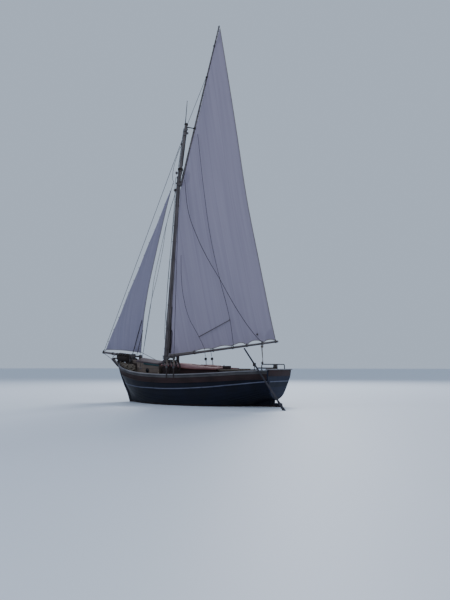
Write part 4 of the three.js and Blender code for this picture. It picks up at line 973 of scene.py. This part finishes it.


# The cotton's off-white is given in grey-lavender: partly painted shade, as the sails look on their
# shaded side.
main_canvas = sail_cloth("main_canvas", (160, 155, 172), (170, 165, 181), (142, 138, 155))
jib_canvas = sail_cloth("jib_canvas", (147, 145, 164), (158, 155, 173), (130, 127, 146))
main_luff = [luff_point(1.81), luff_point(5.0), luff_point(8.12), under_gaff(8.42),
             under_gaff(11.4), under_gaff(14.12)]
main_leech = flat_line([(-3.45, 2.235), (-3.29, 2.89), (-2.83, 5.01), (-2.35, 7.32),
                        (-1.94, 9.88), (-1.56, 12.18), (-1.225, 14.12)])
rings, mainsail = sail(main_luff, main_leech, 150, 56, main_foot, 0.07,
                       (((-3.45, 0, 2.235), 0.42), ((0.87, 0, 1.81), 0.34), ((0.31, 0, 8.5), 0.26),
                        ((-1.2, 0, 14.12), 0.6)))
fitted("mainsail_cloth", [mainsail], main_canvas, "main_spars", "mainsail", angle=60)
edge = [ring[-1] for ring in rings]
main_bolt = fitted("mainsail_bolt_rope", [led(edge[::3], 0.011), led(rings[0][::2], 0.011)],
                   manila, "main_spars")

jib_luff = [(4.172, 0, 2.02), (0.868, 0, 8.43)]
jib_leech = flat_line([(2.36, 1.885), (2.25, 3.15), (2.11, 3.96), (1.89, 4.93), (1.23, 7.35),
                       (0.9, 8.42)])
rings, headsail = sail(jib_luff, jib_leech, 110, 34, jib_foot, 0.05,
                       (((4.17, 0, 2.02), 0.3), ((2.36, 0, 1.885), 0.3), ((0.88, 0, 8.42), 0.36)))
fitted("jib_cloth", [headsail], jib_canvas, "headsail", "jib", angle=60)
edge = [ring[-1] for ring in rings]
bolt = [led(edge[::3] + [edge[-1]], 0.009), led(rings[0][::2], 0.009),
        led([rings[0][0], (4.185, 0, 1.975)], 0.009)]
jib_bolt = fitted("jib_bolt_rope", bolt, manila, "headsail")
hanks = [ringed(along_line(jib_luff, share) + Vector((0.012, 0, 0.006)), (-3.3, 0, 6.4), 0.024,
                0.005) for share in spaced(0.05, 0.95, 12)]
fitted("jib_hanks", hanks, iron, "headsail")

# Hoops and lacings: bent ash hoops hold the luff to the mast, a line spiralled round the gaff
# holds the head, and short ties hold the foot to the boom.
hoops = [ringed(by_mast(z, -0.012, 0, -0.004), mast_line + Vector((0, 0.4, 0)),
                mast_radius(z) + 0.022, 0.01)
         for z in (7.48, 6.71, 6.1, 5.4, 4.67, 3.67, 2.79, 2.02)]
fitted("mast_hoops", hoops, spar_wood, "main_spars")
lacing = [ringed(on_gaff(z) - Vector((0.006, 0, 0)), gaff_line + Vector((0, 1.6, 0)),
                 0.048 - 0.0027 * (z - 8.3), 0.0055)
          for z in spaced(9.06, 14.035, 25)]
lacing += [ringed(on_boom(x) + Vector((0, 0, 0.012)), boom_line, boom_radius(x) + 0.022, 0.008)
           for x in TIES]
fitted("sail_lacings", lacing, tarred, "main_spars")

# Standing rigging: tarred rope shrouds set up with deadeyes and lanyards to iron chainplates
# outside the rail, a wire-served forestay to the bowsprit's end and a short bobstay below it. A
# rack of pins inside each rail holds coiled line.
HOUNDS_Z, UPPER_EYE, LOWER_EYE = 8.9, 1.64, 1.33
painted(tarred, "forestay", "bobstay")


def rail_outside(x, hand, z):
    half = faired("deck_y", share_at(x, 1.1)) + FLARE + CAP_OUT + 0.008
    return Vector((x, hand * half, z))


def bored(piece, middle, reach, radius, sides):
    """Drills a round hole athwartships through a piece."""
    aside = Vector((0, reach, 0))
    drill = turned(Vector(middle) - aside, Vector(middle) + aside, radius, radius, sides=sides)
    worked(piece, "BOOLEAN", operation="DIFFERENCE", object=drill)
    bpy.data.objects.remove(drill)


for side, hand in SIDES:
    wires, discs, lines, plates = [], [], [], []
    for foot_x, ahead in ((0.16, 1), (-0.14, -1)):
        top = by_mast(HOUNDS_Z, ahead * 0.024, hand * (mast_radius(HOUNDS_Z) + 0.034))
        foot = rail_outside(foot_x, hand, LOWER_EYE)
        upper = on_line(foot, top, 2, UPPER_EYE)
        wires += [led([top, on_line(foot, top, 2, 5.0), upper + (top - upper) * 0.012], 0.008),
                  ringed(top, (0, 1, 0), 0.024, 0.011), ringed(upper, (0.02, 1, 0), 0.052, 0.009)]
        for z, first in ((UPPER_EYE, 90), (LOWER_EYE, 270)):
            spot, half = on_line(foot, top, 2, z), Vector((0, 0.019, 0))
            disc = turned(spot - half, spot + half, 0.05, 0.05)
            for lean in (radians(first + 120 * turn) for turn in range(3)):
                hole = spot + Vector((0.024 * cos(lean), 0, 0.024 * sin(lean)))
                bored(disc, hole, 0.05, 0.008, 12)
            discs.append(disc)
        low, high = (on_line(foot, top, 2, z) for z in (LOWER_EYE + 0.015, UPPER_EYE - 0.015))
        for reach in (-0.02, 0, 0.02):
            lines.append(led([low + Vector((reach, 0.012, 0)), high + Vector((reach, -0.012, 0))],
                             0.005))
        plates += [ringed(foot, (0.02, 1, 0), 0.053, 0.008),
                   squared(foot + Vector((0, hand * 0.004, -0.215)), (0.045, 0.01, 0.33))]
    fitted("shrouds_" + side, wires, tarred, "hull", "shroud_" + side + "_fore",
           "shroud_" + side + "_aft")
    fitted("deadeyes_" + side, discs, grey_wood, "hull", rounded=0.004)
    fitted("lanyards_" + side, lines, manila, "hull")
    fitted("chainplates_" + side, plates, iron, "hull")
    inside, high = hand * 1.13, 1.365 + 0.065 * hand
    rack, coils = [squared((0.12, inside, high), (0.68, 0.05, 0.034))], []
    for x, drop in ((-0.16, 0.34), (-0.02, 0.4), (0.12, 0.36), (0.26, 0.42), (0.4, 0.3)):
        rack.append(turned((x, inside, high - 0.09), (x, inside, high + 0.12), 0.009, 0.013,
                           sides=16))
        for out, width in ((0.03, 0.045), (0.042, 0.06), (0.054, 0.072)):
            y = inside - hand * out
            low = high + 0.07 - drop
            coils.append(hank((x, inside, high + 0.1), (x, y, high + 0.03), (x, y, low),
                              (x, y, low - 0.05), (width, 0, 0)))
    fitted("pin_rack_" + side, rack, grey_wood, "hull", rounded=0.003)
    fitted("hanks_on_rack_" + side, coils, tarred, "hull")

# Running rigging: halyards from the gaff and the jib's head to blocks at the masthead and down
# the mast, slack lines beside the sail with a stick that spreads two of them, and the mainsheet.
def block(spot, way, size):
    """A rope-stropped wooden block: two shells, a sheave between them and a strop round all."""
    spot, way = Vector(spot), Vector(way).normalized()
    side = way.cross(Vector((0, 0, 1)))
    side = (side if side.length > 0.2 else way.cross(Vector((1, 0, 0)))).normalized()
    turn = Matrix((side.cross(way), way, side)).transposed().to_euler()
    shells = []
    for offset in (-0.28, 0.28):
        bpy.ops.mesh.primitive_cylinder_add(vertices=28, radius=0.5, depth=0.22, rotation=turn,
                                            location=spot + side * (offset * size))
        shells.append(bpy.context.object)
        bpy.ops.transform.resize(value=(size * 0.78, size, size), orient_type="LOCAL")
    bpy.ops.mesh.primitive_cylinder_add(vertices=24, radius=0.32 * size, depth=0.3 * size,
                                        rotation=turn, location=spot)
    return shells + [
        bpy.context.object, ringed(spot, side, 0.56 * size, 0.07 * size),
        ringed(spot + way * 0.66 * size, way.cross(side), 0.13 * size, 0.05 * size),
    ]


for name, other, finish, radius, points in (
    ("topping_lift_slack", "main_spars", tarred, 0.009,
     [(0.24, 0.17, 8.39), (0.01, 0.22, 7.06), (-0.36, 0.25, 6.18), (-0.8, 0.26, 5.35),
      (-1.32, 0.25, 4.54), (-2.15, 0.22, 3.21), (-2.75, 0.12, 2.39), (-2.94, 0.03, 2.17)]),
    ("lazy_line_fore", "main_spars", tarred, 0.007,
     [(0.43, 0.1, 5.52), (0.34, 0.18, 4.56), (0.19, 0.22, 3.8), (-0.04, 0.22, 3.12),
      (-0.42, 0.16, 2.45), (-0.63, 0.06, 1.98)]),
    ("peak_halyard_low", "main_spars", tarred, 0.02, [(0.26, 0, 10.53), (-0.07, 0, 10.41)]),
    ("peak_halyard_high", "main_spars", tarred, 0.008, [(0.26, 0.03, 10.56), (-0.61, 0, 12.34)]),
    ("jib_halyard", "headsail", tarred, 0.008,
     [by_mast(9.9, 0.07, 0), (0.62, 0.01, 9.68), (0.93, 0, 8.62), (0.87, 0, 8.44)]),
    ("mainsheet_fore", "main_spars", manila, 0.01,
     [(-3.36, 0.76, 1.44), (-3.12, 0.36, 1.72), (-2.91, 0.02, 2.07)]),
    ("mainsheet_aft", "main_spars", manila, 0.01,
     [(-3.36, 0.8, 1.44), (-3.15, 0.39, 1.74), (-2.95, 0.04, 2.07)]),
    ("jib_sheet_port", "headsail", tarred, 0.008, [(1.62, 0.93, 1.31), (2.36, 0.01, 1.9)]),
    ("jib_sheet_starboard", "headsail", tarred, 0.008, [(1.62, -0.93, 1.31), (2.36, -0.01, 1.9)]),
    ("jib_downhaul_port", "headsail", tarred, 0.013, [(2.74, 0.05, 1.8), (2.3, 0.05, 3.14)]),
    ("jib_downhaul_starboard", "headsail", tarred, 0.01, [(2.52, 0.05, 1.8), (2.24, 0.05, 2.75)]),
):
    line = fitted(name, [led(points, radius)], finish, None)
    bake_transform(line)
line = led([(-0.29, 0.09, 10.11), (-0.42, 0.16, 9.44), (-0.66, 0.22, 7.85), (-1.01, 0.26, 5.92),
            (-1.4, 0.26, 4.39), (-1.74, 0.18, 3.05), (-1.85, 0.06, 1.95)], 0.007)
fitted("lazy_line_aft", [line], tarred, "main_spars")
stick = turned((-0.42, 0.11, 2.43), (-1.72, 0.11, 2.99), 0.016, 0.013, sides=16)
fitted("spreading_stick", [stick], spar_wood, "main_spars", rounded=0.004)
falls = [led([by_mast(8.6, 0.135, hand * 0.05), by_mast(8.3, 0.135, hand * 0.045),
              by_mast(7.8, 0.122, hand * 0.03), by_mast(2.9, 0.138, hand * 0.04),
              by_mast(2.36, 0.03, hand * 0.135)], 0.008) for hand in (1, -1)]
falls += [led([(0.72, 0, 8.2), (1.151, 0, 6.99), (1.471 - out, 0, 5.83),
               (1.769 - 1.2 * out, 0, 4.68), (1.878, 0, 3.91), (2.303, 0, 1.6)], 0.007)
          for out in (0, 0.1)]
falls += [led([by_mast(10.5, out, 0.02), by_mast(9.6, out * 1.1, 0.02),
               by_mast(9.0, out * 1.2, 0.02)], 0.012) for out in (0.08, -0.078)]
fitted("halyard_falls", falls, tarred, "hull")
gaskets = [led([by_mast(3.6 - drop, -0.13, 0.028), by_mast(2.7, -out, 0.032),
                by_mast(1.84, -out - 0.02, 0.034)], 0.014)
           for drop, out in ((0, 0.135), (0.5, 0.16), (0.9, 0.185))]
fitted("luff_gaskets", gaskets, tarred, "main_spars")
strops = [ringed(on_gaff(z) - Vector((0.004, 0, 0)), gaff_line, 0.046, 0.012)
          for z in (10.38, 10.41, 12.3, 12.33, 13.48)]
fitted("gaff_strops", strops, tarred, "main_spars")
for name, body, places in (
    ("blocks_on_hull", "hull", (
        (by_mast(10.3, -0.11, 0, -0.02), (-0.6, 0, 1), 0.075),
        (by_mast(10.3, -0.11, 0.04, 0.12), (-0.6, 0, 1), 0.075),
        (by_mast(8.77, 0.12, 0.06), (0.1, 0, -1), 0.09),
        (by_mast(8.62, 0.12, -0.05), (0.1, 0, -1), 0.09),
        ((-3.34, 0.78, 1.46), (0.4, -0.6, 0.6), 0.085),
        (by_mast(9.9, 0.1, 0), (0.6, 0, -1), 0.07),
        ((0.8, 0, 8.12), (-1, 0, 1), 0.1),
        ((1.6, 0.945, 1.29), (0.6, -0.5, 0.5), 0.07),
        ((1.6, -0.945, 1.29), (0.6, 0.5, 0.5), 0.07),
    )),
    ("blocks_on_boom", "main_spars", (
        ((-2.93, 0, 2.03), (0.2, 0.3, -1), 0.085), ((-2.8, 0.11, 2.44), (-0.3, 0, 1), 0.06),
    )),
):
    shells = [shell for spot, way, size in places for shell in block(spot, way, size)]
    fitted(name, shells, spar_wood, body)

# Stern: the guard is a bent iron tube on feet, the rudder head is bound with iron and bored
# athwartships, and the tiller and the long sweep are shaved from ash.
GUARD_X, GUARD_TOP, GUARD_BEND = -3.36, 1.42, 0.06
HEAD_X, TILLER_END = -3.4357, (-2.69, 0, 1.3)
SWEEP_HANDLE, SWEEP_NECK, BLADE_LONG = (-2.625, 0.71, 1.95), (-4.065, 1.287, 0.382), 0.85
guard_half, guard_foot = deck_edge(share_at(GUARD_X, 1.2))
guard_half, guard_foot = guard_half + FLARE - 0.027, guard_foot + BULWARK_HEIGHT + CAP_THICK
bend = [(guard_half, guard_foot), (guard_half, GUARD_TOP - 0.1),
        (guard_half, GUARD_TOP - GUARD_BEND), (guard_half - 0.018, GUARD_TOP - 0.018),
        (guard_half - GUARD_BEND, GUARD_TOP), (guard_half - 0.1, GUARD_TOP)]
rail = [(GUARD_X, y, z) for y, z in bend] + [(GUARD_X, -y, z) for y, z in reversed(bend)]
fitted("stern_guard_tube", [led(rail, 0.018)], iron, "hull", "stern_guard")
feet = [turned((GUARD_X, hand * guard_half, guard_foot),
               (GUARD_X, hand * guard_half, guard_foot + 0.012), 0.045, 0.042)
        for hand in (1, -1)]
fitted("guard_feet", feet, iron, "hull", rounded=0.002)
painted(hull_paint, "rudder")
rings = [[(x, y, z) for x, z in ((-3.309, 0.058), (-3.195, 0.058), (-3.195, 0.2), (-3.317, 0.216))]
         for y in (-0.05, 0.05)]
fitted("stern_knee", [laid_out(rings, True)], hull_paint, "hull", rounded=0.004)
head = squared((HEAD_X + 0.006, 0, 1.319), (0.128, 0.092, 0.162))
bored(head, (HEAD_X, 0, 1.362), 0.2, 0.021, 24)
fitted("rudder_head_bored", [head], grey_wood, "rudder_and_tiller", "rudder_head", rounded=0.006)
straps = [squared((HEAD_X + 0.006, 0, z), (0.134, 0.098, 0.018)) for z in (1.262, 1.318)]
fitted("rudder_head_bands", straps, iron, "rudder_and_tiller", rounded=0.002)
fitted("tiller_bar", [turned((HEAD_X + 0.07, 0, 1.288), TILLER_END, 0.03, 0.02)], spar_wood,
       "rudder_and_tiller", "tiller", rounded=0.008)
loom = turned(SWEEP_HANDLE, SWEEP_NECK, 0.026, 0.03)
aim = (Vector(SWEEP_NECK) - Vector(SWEEP_HANDLE)).normalized()
level = aim.cross(Vector((0, 0, 1))).normalized()
upright = level.cross(aim)
rings = []
for share, half, thick in ((-0.16, 0.02, 0.02), (0, 0.03, 0.024), (0.2, 0.044, 0.016),
                           (0.5, 0.056, 0.012), (0.85, 0.07, 0.011), (0.985, 0.075, 0.01),
                           (1, 0.07, 0.008)):
    middle = Vector(SWEEP_NECK) + aim * (BLADE_LONG * share)
    rings.append([middle + upright * half * cos(lean) + level * thick * sin(lean)
                  for lean in spaced(0, 2 * pi, 12)[:-1]])
dark_ash = timber("dark_ash", (34, 35, 42), (66, 64, 70), (14, 14, 1.1),
                  (52, 46, 46), rough=0.74)
fitted("sweep_oar", [loom, laid_out(rings, True)], dark_ash, "sweep", "sweep")
for name, spot, size in (("stern_box", (-1.79, 0.45, 1.31), (0.2, 0.24, 0.12)),
                         ("bucket_board", (-2.1, -0.2, 1.262), (0.36, 0.3, 0.024))):
    fitted(name, [squared(spot, size)], brown_paint, "hull", rounded=0.006)
